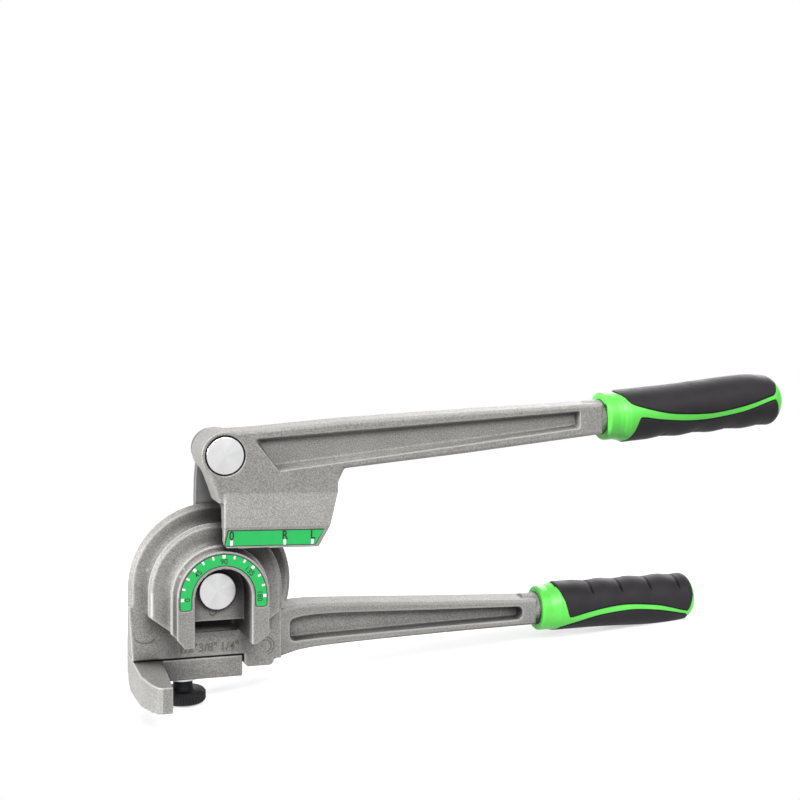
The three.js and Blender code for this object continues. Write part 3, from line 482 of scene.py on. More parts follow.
class Finish:
    """A material built round one Principled shader."""

    def __init__(self, name, **settings):
        self.block = bpy.data.materials.new(name)
        self.block.use_nodes = True
        self.tree = self.block.node_tree
        self.shader = self.tree.nodes["Principled BSDF"]
        for socket, value in settings.items():
            self.set(socket.replace("_", " "), value)
        self.block.diffuse_color = tuple(self.shader.inputs["Base Color"].default_value)

    def give(self, value, socket):
        if isinstance(value, Socket):
            self.tree.links.new(value.socket, socket)
        elif socket.type == "RGBA" and len(value) == 3:
            socket.default_value = (*value, 1)
        else:
            socket.default_value = value

    def set(self, socket, value):
        self.give(value, self.shader.inputs[socket])

    def node(self, kind, settings, inputs, output=0):
        added = self.tree.nodes.new(kind)
        for key, value in settings.items():
            setattr(added, key, value)
        for key, value in inputs.items():
            self.give(value, added.inputs[key])
        return Socket(self, added.outputs[output])

    def maths(self, operation, a, b):
        return self.node("ShaderNodeMath", {"operation": operation}, {0: a, 1: b})

    def vector_maths(self, operation, *vectors):
        inputs = dict(enumerate(vectors))
        return self.node("ShaderNodeVectorMath", {"operation": operation}, inputs)

    def mixed(self, factor, a, b):
        return self.node("ShaderNodeMix", {"data_type": "RGBA"}, {0: factor, 6: a, 7: b}, 2)

    def place(self):
        return self.node("ShaderNodeTexCoord", {}, {}, "Object")

    def noise(self, per_metre, detail, rough, at=None):
        inputs = {"Vector": at or self.place(), "Scale": per_metre}
        inputs |= {"Detail": detail, "Roughness": rough}
        return self.node("ShaderNodeTexNoise", {}, inputs)

    def sheen_rays(self, centre):
        """Streaks that run out from an axis along Y, as a facing cut leaves them,
        with the radial sheen of such a face painted in.
        """
        spoke = self.vector_maths("SUBTRACT", self.place(), centre)
        flat = self.vector_maths("MULTIPLY", spoke, (1, 0, 1))
        return self.noise(*STEEL_STREAKS_AND_SHEEN, self.vector_maths("NORMALIZE", flat))

    def range(self, value, band=NOISE_BAND, to=(0.0, 1.0)):
        """A value whose band is spread between two others."""
        inputs = {"Value": value, 1: band[0], 2: band[1], 3: to[0], 4: to[1]}
        return self.node("ShaderNodeMapRange", {}, inputs)

    def edges(self):
        """How sharply the surface turns outwards, from 0 to 1; it masks the highlight painted on
        edges.
        """
        bend = self.node("ShaderNodeNewGeometry", {}, {}, "Pointiness")
        return self.range(bend, EDGE_BAND)

    def painted_hollow_shade(self):
        """How deep in a hollow the surface lies, from 0 to 1: the mask of the shade painted into
        hollows.
        """
        settings = {"samples": RECESS_SAMPLES}
        reach = {"Distance": RECESS_REACH * MM}
        open_share = self.node("ShaderNodeAmbientOcclusion", settings, reach, "AO")
        return self.range(1 - open_share, RECESS_BAND)

    def bump(self, height, distance):
        inputs = {"Height": height, "Distance": distance}
        self.set("Normal", self.node("ShaderNodeBump", {}, inputs))


def shaded(colour, share):
    return tuple(c * share for c in colour)


def cast_finish(name, light, dark, worn_and_lit_edge_colour):
    """Blasted die casting: fine grain, soft mottling, lighter edges that are partly wear and
    partly painted highlight, and painted shade in its hollows.
    """
    finish = Finish(name, Metallic=CAST_METALLIC, Base_Color=light)
    grain = finish.noise(*GRAIN)
    fine = finish.range(grain, GRAIN_BAND) * GRAIN_SHARE
    coarse = finish.range(finish.noise(*MOTTLE)) * (1 - GRAIN_SHARE)
    colour = finish.mixed((fine + coarse).clamped(), dark, light)
    # Painted highlight, partly edge wear: edges that turn outwards lighten towards the edge
    # colour
    colour = finish.mixed(finish.edges() * CAST_EDGE_WEAR_AND_HIGHLIGHT, colour, worn_and_lit_edge_colour)
    # Painted shade: where hollows keep the light out, the colour darkens towards a deep shade of
    # the dark colour
    colour = finish.mixed(finish.painted_hollow_shade(), colour, shaded(dark, PAINTED_HOLLOW_SHADE))
    finish.set("Base Color", colour)
    finish.set("Roughness", finish.range(grain, to=CAST_ROUGHNESS))
    finish.bump(finish.noise(*PEBBLES), CAST_RELIEF)
    return finish.block


def turned_finish(name, colour, roughness, relief, centre=(0, 0, 0)):
    """Bright steel whose faces carry the lathe tool's marks, with a radial sheen painted into
    their colour.
    """
    finish = Finish(name, Metallic=1.0, Base_Color=colour)
    stain = finish.noise(*STEEL_STAIN)
    # Painted sheen, partly turning marks: a radial pattern darkens the colour where an
    # anisotropic highlight would fade
    streaks_and_sheen = finish.range(finish.sheen_rays(centre)) * STREAK_AND_SHEEN_SHARE
    stains = finish.range(stain, STAIN_BAND) * (1 - STREAK_AND_SHEEN_SHARE)
    tone = (streaks_and_sheen + stains).clamped()
    finish.set("Base Color", finish.mixed(tone, colour, shaded(colour, STREAK_SHADE)))
    spread = [roughness * share for share in STEEL_SPREAD]
    finish.set("Roughness", finish.range(stain, to=spread))
    finish.bump(finish.noise(*STEEL_SATIN), relief)
    return finish.block


def paint_finish(name, colour, roughness):
    """Smooth printed enamel."""
    finish = Finish(name, Base_Color=colour, Coat_Weight=PAINT_COAT)
    waver = finish.noise(*PAINT_WAVER)
    tone = finish.mixed(finish.range(waver), colour, shaded(colour, WAVER_SHADE))
    finish.set("Base Color", tone)
    finish.set("Roughness", finish.range(waver, to=(roughness, roughness + PAINT_SPREAD)))
    return finish.block


def shell_finish(name, colour):
    """Smooth moulded plastic with a soft gloss and a little orange peel."""
    finish = Finish(name, Base_Color=colour)
    waver = finish.noise(*SHELL_WAVER)
    tone = finish.mixed(finish.range(waver), colour, shaded(colour, WAVER_SHADE))
    finish.set("Base Color", tone)
    finish.set("Roughness", finish.range(waver, to=SHELL_ROUGHNESS))
    finish.bump(finish.noise(*SHELL_PEEL), SHELL_RELIEF)
    return finish.block


def rubber_finish(name, colour, dust_and_sheen, shine):
    """Soft rubber: fine pebbled skin with dust on its high spots and a highlight painted on its
    edges.
    """
    finish = Finish(name, Base_Color=colour, Specular_IOR_Level=shine)
    cloud = finish.noise(*MOTTLE)
    # Dust clouds, and a painted highlight: edges that turn outwards lighten towards the dust
    # colour too
    dust_and_edge_highlight = finish.range(cloud, STAIN_BAND) * CLOUD_SHARE + finish.edges() * RUBBER_EDGE_DUST_AND_HIGHLIGHT
    finish.set("Base Color", finish.mixed(dust_and_edge_highlight.clamped(), colour, dust_and_sheen))
    finish.set("Roughness", finish.range(cloud, to=RUBBER_ROUGHNESS))
    finish.bump(finish.noise(*PEBBLES), RUBBER_RELIEF)
    return finish.block


UPPER_CENTRE = (UPPER_AXIS[0] * MM, 0, UPPER_AXIS[1] * MM)

# Castings have a light, a dark and an edge colour; the edge colour is partly edge wear and partly
# painted highlight. On steel and paint the colour is followed by the roughness, and on rubber by
# the colour of its dust, which also lights its edges as a painted highlight, and how much it
# shines.
CASTING = cast_finish(
    "casting", (0.35, 0.341, 0.327), (0.175, 0.169, 0.16), (0.52, 0.51, 0.495))
# Painted shade: a dark copy of the casting for its cast-in marks, standing for the shade on their
# relief
MOULD_MARK_SHADE = cast_finish(
    "casting in marks painted shade", (0.1, 0.096, 0.09), (0.05, 0.049, 0.046), (0.16, 0.16, 0.15))
PIN_STEEL = turned_finish("pin steel", (0.77, 0.77, 0.775), 0.3, PIN_RELIEF)
# Painted shade: the upper pin is the lower pin's steel made a little darker, with its pattern
# centred on its own axis
UPPER_PIN_STEEL_SHADED = turned_finish(
    "upper pin steel", (0.74, 0.74, 0.745), 0.3, PIN_RELIEF, UPPER_CENTRE)
# Painted shade: the link's steel is made dark because it lies in the shadow of the lever
LINK_STEEL_SHADED = turned_finish("link steel painted shade", (0.2, 0.2, 0.205), 0.45, STEEL_RELIEF)
ZINC = turned_finish("zinc", (0.72, 0.73, 0.75), 0.3, STEEL_RELIEF)
SPRING = turned_finish("spring steel", (0.2, 0.21, 0.23), 0.35, STEEL_RELIEF)
BRONZE = turned_finish("bronze", (0.5, 0.36, 0.18), 0.4, STEEL_RELIEF)
SCALE_GREEN = paint_finish("scale green", (0.01, 0.48, 0.1), 0.5)
PRINT_WHITE = paint_finish("white print", (0.92, 0.93, 0.92), 0.4)
PRINT_BLACK = paint_finish("black print", (0.012, 0.014, 0.012), 0.4)
GRIP_GREEN = shell_finish("grip green", (0.12, 0.72, 0.085))
PAD_RUBBER = rubber_finish("pad rubber", (0.015, 0.0135, 0.0155), (0.028, 0.025, 0.028), 0.18)
# Painted shade: black rubber for the band round each pad, where the groove at its edge lies in
# shade
PAD_GROOVE_SHADE = rubber_finish("pad groove painted shade", (0.004, 0.004, 0.004), (0.008, 0.008, 0.008), 0.1)
KNOB_BLACK = rubber_finish("knob black", (0.005, 0.005, 0.006), (0.012, 0.012, 0.013), 0.2)


# Castings

def former():
    body = cast_skin("former_casting", "former_body")
    finished(body, CASTING, "former", ("former_body",), CAST_SHARP_ANGLE)


def lever():
    body = cast_skin("lever_skin", "lever_casting")
    floor = LEVER_FRONT + COUNTERBORE_DEPTH
    chamfer = COUNTERBORE_CHAMFER
    profile = [
        (0, floor), (COUNTERBORE_RADIUS, floor), (COUNTERBORE_RADIUS, LEVER_FRONT + chamfer),
        (COUNTERBORE_RADIUS + 2 * chamfer, LEVER_FRONT - chamfer), (0, LEVER_FRONT - chamfer),
    ]
    cut(body, turned("counterbore", profile, UPPER_AXIS))
    finished(body, CASTING, "lever", ("lever_casting",), CAST_SHARP_ANGLE)


def clamp():
    body = cast_skin("clamp_skin", "clamp_block")
    finished(body, CASTING, "clamp", ("clamp_block",), CAST_SHARP_ANGLE)


def mould_marks():
    """Size marks and the thin arcs that the mould's ejectors leave, darkened as painted shade on
    their low relief.
    """
    for text, x in SIZE_MARKS.items():
        name = "size_mark_" + text.replace("/", "_")
        place = (x, PLATE_FRONT, SIZE_MARK_RISE)
        label(name, text + '"', SIZE_MARK_HEIGHT, place, 0, MOULD_MARK_SHADE, "former",
              SIZE_MARK_WEIGHT, thickness=MARK_PROUD)
    for name, mark in MOULD_ARCS.items():
        start, end = mark["turns"]
        outline = arc(*mark["place"], mark["radius"], start, end)
        outline += arc(*mark["place"], mark["radius"] - MOULD_LINE, end, start)
        line = slab("mould_arc_" + name, outline, mark["face"] - MARK_PROUD,
                    mark["face"] + SCALE_SINK)
        finished(line, MOULD_MARK_SHADE, "former")


# Pins, bushes, washers and the link

def span(node, axis=1):
    """Where a node starts and ends along an axis, in millimetres."""
    low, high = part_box(node)
    return low[axis] / MM, high[axis] / MM


def half_width(node):
    low, high = span(node, 0)
    return (high - low) / 2


def pin(node, axis, finish):
    head, tail = span(node)
    ring_from, ring_to = span(node.replace("_pin", "_retaining_ring"))
    shoulder = head + PIN_HEAD_THICKNESS
    outline = [
        (0, head), (PIN_HEAD_RADIUS, head), (PIN_HEAD_RADIUS, shoulder),
        (PIN_SHANK_RADIUS, shoulder), (PIN_SHANK_RADIUS, ring_from),
        (RING_GROOVE_RADIUS, ring_from), (RING_GROOVE_RADIUS, ring_to),
        (PIN_SHANK_RADIUS, ring_to), (PIN_SHANK_RADIUS, tail), (0, tail),
    ]
    obj = turned(node + "_turned", filleted(outline, EDGE_ROUND), axis)
    finished(obj, finish, "link", (node,))


def flat_ring(inner, outer, low, high, edge):
    """The closed profile of a tube or washer with rounded edges."""
    middle = (low + high) / 2
    edge = min(edge, (high - low) * FLAT_EDGE_SHARE)
    seam = (inner, middle)
    ring = [seam, (inner, low), (outer, low), (outer, high), (inner, high), seam]
    return filleted(ring, edge)[:-1]


def sleeve_of(node, axis, finish, body):
    """A bush or washer on a pin."""
    profile = flat_ring(PIN_SHANK_RADIUS + PIN_PLAY, half_width(node), *span(node), EDGE_ROUND)
    obj = turned(node + "_turned", profile, axis, closed=True)
    finished(obj, finish, body, (node,))


def retaining_ring(node, axis):
    """An open ring with two eyes at its mouth."""
    front, back = span(node)
    start = RING_MOUTH_TURN
    end = RING_MOUTH_TURN + 360
    gap = RING_MOUTH - RING_EYE
    outline = arc(*axis, RING_OUTER_RADIUS, start + gap, end - gap)
    outline += arc(*axis, RING_GROOVE_RADIUS + PIN_PLAY, end - RING_MOUTH, start + RING_MOUTH)
    obj = slab(node + "_pressed", outline, front, back, edge=RING_EDGE)
    finished(obj, SPRING, "link", (node,))


def link():
    front, back = span("link_plate")
    length = math.hypot(*UPPER_AXIS)
    lean = Matrix.Rotation(math.atan2(*UPPER_AXIS), 4, "Y")
    outline = arc(0, length, LINK_END_RADIUS, -LINK_END_TURN, 180 + LINK_END_TURN)
    outline += [(-LINK_WAIST, length - LINK_BLEND), (-LINK_WAIST, LINK_BLEND)]
    outline += arc(0, 0, LINK_END_RADIUS, 180 - LINK_END_TURN, 360 + LINK_END_TURN)
    outline += [(LINK_WAIST, LINK_BLEND), (LINK_WAIST, length - LINK_BLEND)]
    obj = slab("link_pressed", outline, front, back, edge=LINK_EDGE, turn=lean)
    finished(obj, LINK_STEEL_SHADED, "link", ("link_plate",))


def pivots():
    pivot_rows = (
        ("lower", LOWER_AXIS, "former", PIN_STEEL),
        ("upper", UPPER_AXIS, "lever", UPPER_PIN_STEEL_SHADED),
    )
    for side, axis, carrier, steel in pivot_rows:
        pin(f"{side}_pin", axis, steel)
        sleeve_of(f"{side}_bush", axis, BRONZE, carrier)
        sleeve_of(f"{side}_spacer_washer", axis, ZINC, "link")
        sleeve_of(f"{side}_rear_washer", axis, ZINC, "link")
        retaining_ring(f"{side}_retaining_ring", axis)
    link()


# Scales

SCALE_FRONT = DIE_FRONT - SCALE_PROUD
SCALE_BACK = DIE_FRONT + SCALE_SINK
SCALE_FACE = SCALE_FRONT - PRINT_THICKNESS
PRINT_FRONT = SCALE_FACE - PRINT_THICKNESS


def dial_outline(rim):
    """The horseshoe of the dial, made smaller all round by the rim."""
    outer = DIAL_OUTER - rim
    inner = DIAL_INNER + rim
    corner = DIAL_CORNER - rim
    centre_rise = DIAL_FOOT + DIAL_CORNER
    left_corners = [(-outer + corner, 180, 270), (-inner - corner, 270, 360)]
    right_corners = [(inner + corner, 180, 270), (outer - corner, 270, 360)]
    outline = arc(0, 0, outer, 0, 180)
    for x, start, end in left_corners:
        outline += arc(x, centre_rise, corner, start, end, CORNER_STEPS)
    outline += arc(0, 0, inner, 180, 0)
    for x, start, end in right_corners:
        outline += arc(x, centre_rise, corner, start, end, CORNER_STEPS)
    return outline


def dial():
    border = slab("dial_border", dial_outline(0), SCALE_FRONT, SCALE_BACK, edge=SCALE_EDGE)
    finished(border, PRINT_BLACK, "former")
    face = slab("dial_face", dial_outline(SCALE_BORDER), SCALE_FACE, SCALE_BACK - SCALE_PROUD)
    finished(face, SCALE_GREEN, "former", ("angle_scale_plate",))
    for degrees in range(0, DIAL_END + 1, DIAL_TICK_STEP):
        width, height = DIAL_SHORT_TICK if degrees % DIAL_LONG_STEP else DIAL_LONG_TICK
        turn = Matrix.Rotation(math.radians(degrees - 90), 4, "Y")
        foot = DIAL_TICK_RADIUS - height / 2
        outline = box_outline(-width / 2, foot, width / 2, foot + height)
        tick = slab(f"dial_tick_{degrees}", outline, PRINT_FRONT, SCALE_FRONT, turn=turn)
        finished(tick, PRINT_WHITE, "former")
    for degrees, text in DIAL_LABELS.items():
        angle = math.radians(degrees - 90)
        x = DIAL_LABEL_RADIUS * math.sin(angle)
        z = DIAL_LABEL_RADIUS * math.cos(angle)
        place = (x, PRINT_FRONT, z)
        label(f"dial_number_{text}", text, DIAL_LABEL_HEIGHT, place, degrees - 90, PRINT_BLACK,
              "former", DIAL_LABEL_WEIGHT)


def strip():
    """The scale on the shoe; it leans with the shoe about the bend axis."""
    lean = Matrix.Rotation(math.radians(STRIP_TILT), 4, "Y")
    node = frame["nodes"]["shoe_scale_strip"]
    level = [lean.inverted() @ v.co / MM for v in node.data.vertices]
    foot = min(p.z for p in level)
    top = max(p.z for p in level)
    low = [p.x for p in level if p.z < foot + STRIP_CORNER_REACH]
    high = [p.x for p in level if p.z > top - STRIP_CORNER_REACH]
    rim = SCALE_BORDER
    outer = [(min(low), foot), (max(low), foot), (max(high), top), (min(high), top)]
    inner = [(min(low) + rim, foot + rim), (max(low) - rim, foot + rim),
             (max(high) - rim, top - rim), (min(high) + rim, top - rim)]
    border = slab("strip_border", outer, SCALE_FRONT, SCALE_BACK, turn=lean)
    finished(border, PRINT_BLACK, "lever")
    face = slab("strip_face", inner, SCALE_FACE, SCALE_BACK - SCALE_PROUD, turn=lean)
    finished(face, SCALE_GREEN, "lever", ("shoe_scale_strip",))
    width, height = STRIP_TICK_SIZE
    letter_rise = top - 2 * rim - STRIP_LABEL_HEIGHT / 2
    for text, x in STRIP_MARKS.items():
        outline = box_outline(x - width / 2, foot + rim, x + width / 2, foot + rim + height)
        tick = slab(f"strip_tick_{text}", outline, PRINT_FRONT, SCALE_FRONT, turn=lean)
        finished(tick, PRINT_WHITE, "lever")
        place = (x, PRINT_FRONT, letter_rise)
        label(f"strip_letter_{text}", text, STRIP_LABEL_HEIGHT, place, 0, PRINT_BLACK, "lever",
              STRIP_LABEL_WEIGHT, lean, STRIP_LABEL_WIDTH)


# Thumb screw

def thumb_screw():
    foot, top = span("thumb_screw_knob", 2)
    head_top = foot + KNOB_HEIGHT

    def knurled(r, z, angle):
        in_band = foot + KNURL_MARGIN < z < head_top - KNURL_MARGIN
        depth = KNURL_DEPTH if KNOB_RADIUS - r < KNURL_BAND and in_band else 0
        return r - depth * (1 - abs(math.sin(angle * KNURL_COUNT / 2)))

    outline = [
        (0, foot), (KNOB_RADIUS - KNOB_FOOT_ROUND, foot), (KNOB_RADIUS, foot + KNOB_FOOT_ROUND),
        (KNOB_RADIUS, foot + KNOB_HEIGHT / 2), (KNOB_RADIUS, head_top - KNOB_TOP_ROUND),
        (KNOB_RADIUS - KNOB_TOP_ROUND, head_top), (KNOB_NECK_RADIUS + KNOB_NECK_COVE, head_top),
        (KNOB_NECK_RADIUS, head_top + KNOB_NECK_COVE), (KNOB_NECK_RADIUS, top), (0, top),
    ]
    knob = turned("thumb_screw_moulding", filleted(outline, KNOB_CORNER), SCREW_PLACE, "Z",
                  steps=KNURL_STEPS * KNURL_COUNT, radius_at=knurled)
    finished(knob, KNOB_BLACK, "screw", ("thumb_screw_knob",))
    low, high = span("thumb_screw_stud", 2)
    radius = half_width("thumb_screw_stud")
    rod = [(0, low), (radius, low), (radius, high), (0, high)]
    stud = turned("thumb_screw_thread", filleted(rod, STUD_CHAMFER), SCREW_PLACE, "Z")
    finished(stud, ZINC, "screw", ("thumb_screw_stud",))
    ring = flat_ring(radius + SCREW_WASHER_PLAY, half_width("thumb_screw_washer"),
                     *span("thumb_screw_washer", 2), SCREW_WASHER_EDGE)
    washer = turned("thumb_screw_washer_pressed", ring, SCREW_PLACE, "Z", closed=True)
    finished(washer, ZINC, "screw", ("thumb_screw_washer",))


# Grips

def eased(share):
    s = min(max(share, 0), 1)
    return s * s * (3 - 2 * s)


def part_way(shares, at):
    return (at - shares[0]) / (shares[1] - shares[0])


def smooth_curve(places, values):
    """Points of a smooth curve through the places and values, in steps."""
    knots = [Vector(p) for p in zip(places, values)]
    last = len(knots) - 1
    out = []
    for i in range(SPLINE_STEPS + 1):
        spot = last * i / SPLINE_STEPS
        n = min(int(spot), last - 1)
        t = spot - n
        near = (n - 1, n, n + 1, n + 2)
        before, start, end, after = (knots[min(max(k, 0), last)] for k in near)
        leave = (end - before) / 2
        arrive = (after - start) / 2
        cubic = (2 * start - 2 * end + leave + arrive) * t ** 3
        square = (3 * end - 3 * start - 2 * leave - arrive) * t ** 2
        out.append(cubic + square + leave * t + start)
    return out


def height_at(curve, place):
    for a, b in zip(curve, curve[1:]):
        if place <= b.x:
            return a.y + (b.y - a.y) * (place - a.x) / (b.x - a.x)
    return curve[-1].y


def grip_radius(grip, share, angle):
    swell = PALM_SWELL * eased(part_way(SWELL_SHARES, share))
    fall = PALM_FALL * eased(part_way(FALL_SHARES, share))
    palm = PALM_RADIUS + swell - fall
    pitches = (share - DIP_SHARE) / DIP_PITCH_SHARE
    dipped = pitches > -0.5 and share < PAD_END_SHARE
    wave = (1 + math.cos(2 * math.pi * pitches)) / 2 if dipped else 0
    fingers = FINGER_RADIUS - FINGER_DIP * wave
    up = max(0, math.sin(angle)) ** 2
    down = max(0, -math.sin(angle)) ** 2
    body = SIDE_RADIUS + (palm - SIDE_RADIUS) * up + (fingers - SIDE_RADIUS) * down
    tail = max(0, (share - TAIL_START_SHARE) / (1 - TAIL_START_SHARE))
    rounded = body * math.sqrt(1 - (1 - TAIL_FLAT_SHARE) * tail * tail)
    collar = 1 - min(1, max(0, part_way(COLLAR_SHARES, share)))
    return grip["scale"] * (rounded + (COLLAR_RADIUS - rounded) * collar)


def grip_point(grip, share, angle, radius):
    return Vector((share * grip["length"], -radius * math.cos(angle),
                   grip["side"] * radius * math.sin(angle)))


def grip_frame(grip):
    tilt = Matrix.Rotation(math.radians(-grip["tilt"]), 4, "Y")
    roll = Matrix.Rotation(math.radians(GRIP_ROLL), 4, "X")
    return Matrix.Translation(Vector(grip["start"])) @ tilt @ roll


def grip_piece(name, grip, rings):
    """A mesh through rings of points, closed at both ends."""
    count = len(rings[0])
    faces = []
    for i in range(len(rings) - 1):
        for j in range(count):
            k = (j + 1) % count
            low = i * count
            high = low + count
            faces.append([low + j, low + k, high + k, high + j])
    faces.append(list(range(count)))
    faces.append([(len(rings) - 1) * count + j for j in range(count)])
    place = grip_frame(grip)
    return outward(made(name, [place @ p for ring in rings for p in ring], faces))


def grip_sleeve(side, grip):
    """The shell with its dished mouth and the rings round its collar."""
    mouth = MOUTH_RADIUS * grip["scale"]
    angles = [2 * math.pi * j / GRIP_STEPS for j in range(GRIP_STEPS)]

    def ring(share, radius_at):
        return [grip_point(grip, share, a, radius_at(a)) for a in angles]

    rings = [ring(MOUTH_DEPTH / grip["length"], lambda a: mouth), ring(0, lambda a: mouth)]
    for i in range(GRIP_RINGS + 1):
        t = i / GRIP_RINGS
        crowded = 1 - (1 - t) ** 2 / (1 - TAIL_RINGS_SHARE)
        share = t if t < TAIL_RINGS_SHARE else crowded
        run = share * grip["length"]
        lip = MOUTH_ROUND * (1 - min(1, run / MOUTH_ROUND_RUN)) ** 2
        step = 0
        for x, depth in COLLAR_RINGS:
            step += depth * math.exp(-((run - x) / COLLAR_RING_RUN) ** 2)
        rings.append(ring(share, lambda a: grip_radius(grip, share, a) - lip - step))
    obj = grip_piece(f"{side}_grip_shell", grip, rings)
    nodes = (f"{side}_grip_sleeve",)
    finished(obj, GRIP_GREEN, grip["body"], nodes, SHELL_SHARP_ANGLE)


def crease(share, angle):
    """How deep a fold between the fingers is here; each fold ends in a short step."""
    depth = 0
    for at in CREASE_SHARES:
        before = 1 - (at - share) / CREASE_RUN
        after = 1 - (share - at) / CREASE_STEP
        depth = max(depth, before if share < at else after)
    spread = eased(part_way(CREASE_SPREAD, math.sin(abs(angle))))
    return CREASE_DEPTH * max(0, depth) ** 2 * spread


def pad_rings(grip, pad, spread, along, rise_at, thickness):
    """Rings of a shell over a pad's place, made wider all round by the spread."""
    curve = smooth_curve(pad["shares"], pad["angles"])
    start = pad["shares"][0] - spread / grip["length"]
    end = PAD_END_SHARE + spread / grip["length"]
    wider = spread / (SIDE_RADIUS * grip["scale"])
    rings = []
    for i in range(along + 1):
        share = start + (end - start) * i / along
        held = min(max(share, pad["shares"][0]), PAD_END_SHARE)
        low = math.radians(height_at(curve, held)) - wider
        outer = []
        inner = []
        for j in range(PAD_ACROSS + 1):
            angle = low + (math.pi - 2 * low) * (0.5 - 0.5 * math.cos(math.pi * j / PAD_ACROSS))
            turned_to = pad["turn"] * angle
            base = grip_radius(grip, share, turned_to)
            sideways = min(angle - low, math.pi - low - angle) * base
            ends = min(share - start, end - share) * grip["length"]
            rise = rise_at(share, angle, min(sideways, ends))
            outer.append(grip_point(grip, share, turned_to, base + grip["scale"] * rise))
            inner.append(grip_point(grip, share, turned_to, base - grip["scale"] * thickness))
        rings.append(outer + inner[::-1])
    return rings


def grip_pad(side, grip, kind):
    """A soft pad that stands a little proud of the shell, with a black band round it
    as painted shade for the groove at its edge.
    """
    pad = PADS[kind]
    folded = kind == "finger"

    def pad_rise(share, angle, room):
        across = 1 - min(1, max(0, room / PAD_EDGE))
        rounding = (PAD_SINK + PAD_RISE) * math.sqrt(1 - across * across) - PAD_SINK
        return rounding - (crease(share, angle) if folded else 0)

    name = f"{side}_grip_{kind}_pad"
    rings = pad_rings(grip, pad, 0, PAD_ALONG, pad_rise, PAD_THICKNESS)
    obj = grip_piece(name + "_moulding", grip, rings)
    finished(obj, PAD_RUBBER, grip["body"], (name,), PAD_SHARP_ANGLE)
    seam = pad_rings(grip, pad, SEAM_WIDTH, SEAM_ALONG, lambda *_: SEAM_RISE, SEAM_THICKNESS)
    finished(grip_piece(name + "_seam", grip, seam), PAD_GROOVE_SHADE, grip["body"])


def grips():
    for side, grip in GRIPS.items():
        grip_sleeve(side, grip)
        for kind in PADS:
            grip_pad(side, grip, kind)


# Studio

FLOOR_LEFT = -400.0
FLOOR_RIGHT = 900.0
FLOOR_FRONT = -60.0
FLOOR_REAR = 700.0
FLOOR_GAP = 0.2
FLOOR_GREY = 0.6
FLOOR_GLOW = 0.55
WORLD_LIGHT = 0.12
# Lamps far away: the way that each shines, its strength and how soft its shadows are, in degrees
LAMPS = {
    "key": {"way": (0.95, 0.14, -0.26), "strength": 4.4, "softness": 16},
    "front": {"way": (-0.02, 0.8, -0.6), "strength": 3.0, "softness": 30},
    "back": {"way": (-0.5, -0.7, -0.5), "strength": 2.2, "softness": 40},
}


def background_light(tree, dim, bright):
    """A strength that is bright to the eye and in reflections, and dim as a light."""
    path = tree.nodes.new("ShaderNodeLightPath")
    sum_of = path.outputs["Is Camera Ray"]
    for kind in ("Is Glossy Ray", "Is Transmission Ray"):
        seen = tree.nodes.new("ShaderNodeMath")
        seen.operation = "MAXIMUM"
        tree.links.new(sum_of, seen.inputs[0])
        tree.links.new(path.outputs[kind], seen.inputs[1])
        sum_of = seen.outputs[0]
    level = tree.nodes.new("ShaderNodeMapRange")
    level.inputs["To Min"].default_value = dim
    level.inputs["To Max"].default_value = bright
    tree.links.new(sum_of, level.inputs["Value"])
    return level.outputs[0]


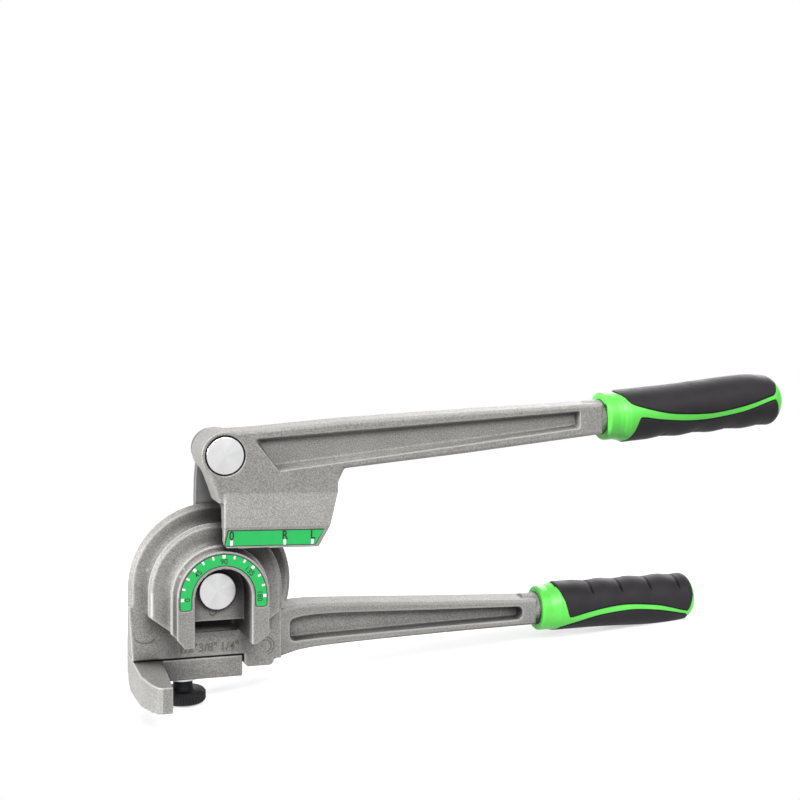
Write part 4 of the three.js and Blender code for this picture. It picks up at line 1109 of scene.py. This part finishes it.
def floor():
    """A white table under the screw's knob and the fixed grip, which can't be seen from below."""
    knob_low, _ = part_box("thumb_screw_knob")
    grip_low, grip_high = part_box("lower_grip_palm_pad")
    run = (grip_low.x + grip_high.x) / 2 / MM - SCREW_PLACE[0]
    slope = math.atan2((grip_low.z - knob_low.z) / MM, run)
    rise = knob_low.z / MM - FLOOR_GAP - KNOB_RADIUS * math.tan(slope)
    outline = box_outline(FLOOR_LEFT, FLOOR_FRONT, FLOOR_RIGHT, FLOOR_REAR)
    corners = [(x, y, 0) for x, y in outline]
    table = made("table", corners, [[0, 1, 2, 3]])
    table.data.transform(Matrix.Rotation(-slope, 4, "Y"))
    table.data.transform(Matrix.Translation(Vector((SCREW_PLACE[0], 0, rise)) * MM))
    white = bpy.data.materials.new("table white")
    white.use_nodes = True
    nodes, links = white.node_tree.nodes, white.node_tree.links
    nodes.clear()
    diffuse = nodes.new("ShaderNodeBsdfDiffuse")
    diffuse.inputs["Color"].default_value = (FLOOR_GREY, FLOOR_GREY, FLOOR_GREY, 1)
    glow = nodes.new("ShaderNodeEmission")
    links.new(background_light(white.node_tree, 0, FLOOR_GLOW), glow.inputs["Strength"])
    both = nodes.new("ShaderNodeAddShader")
    links.new(diffuse.outputs[0], both.inputs[0])
    links.new(glow.outputs[0], both.inputs[1])
    side = nodes.new("ShaderNodeNewGeometry")
    top_only = nodes.new("ShaderNodeMixShader")
    links.new(side.outputs["Backfacing"], top_only.inputs[0])
    links.new(both.outputs[0], top_only.inputs[1])
    links.new(nodes.new("ShaderNodeBsdfTransparent").outputs[0], top_only.inputs[2])
    out = nodes.new("ShaderNodeOutputMaterial")
    links.new(top_only.outputs[0], out.inputs["Surface"])
    table.data.materials.append(white)


def world():
    """White all round to the eye and in reflections, and softer as a light."""
    sky = bpy.data.worlds.new("studio")
    bpy.context.scene.world = sky
    sky.use_nodes = True
    back = sky.node_tree.nodes["Background"]
    back.inputs["Color"].default_value = (1, 1, 1, 1)
    strength = background_light(sky.node_tree, WORLD_LIGHT, 1)
    sky.node_tree.links.new(strength, back.inputs["Strength"])


def lamp(name, way, strength, softness):
    """A large soft lamp so far away that it lights the whole table evenly."""
    light = bpy.data.lights.new(name, "SUN")
    light.energy = strength
    light.angle = math.radians(softness)
    obj = linked(name, light)
    obj.rotation_euler = Vector(way).to_track_quat("-Z", "Y").to_euler()


def camera():
    data = bpy.data.cameras.new("camera")
    data.sensor_width = SENSOR_WIDTH
    data.lens = SENSOR_WIDTH * CAMERA_FOCUS_PIXELS / PICTURE_PIXELS
    data.clip_start = CAMERA_NEAR
    obj = linked("camera", data)
    obj.location = Vector(CAMERA_PLACE) * MM
    yaw = Matrix.Rotation(math.radians(-CAMERA_YAW), 4, "Z")
    pitch = Matrix.Rotation(math.radians(90 - CAMERA_PITCH), 4, "X")
    roll = Matrix.Rotation(math.radians(CAMERA_ROLL), 4, "Z")
    obj.rotation_euler = (yaw @ pitch @ roll).to_euler()
    bpy.context.scene.camera = obj


camera()
world()
for lamp_name, settings in LAMPS.items():
    lamp(lamp_name, **settings)
bpy.context.scene.view_settings.view_transform = "Standard"

former()
lever()
clamp()
mould_marks()
pivots()
dial()
strip()
thumb_screw()
grips()
floor()
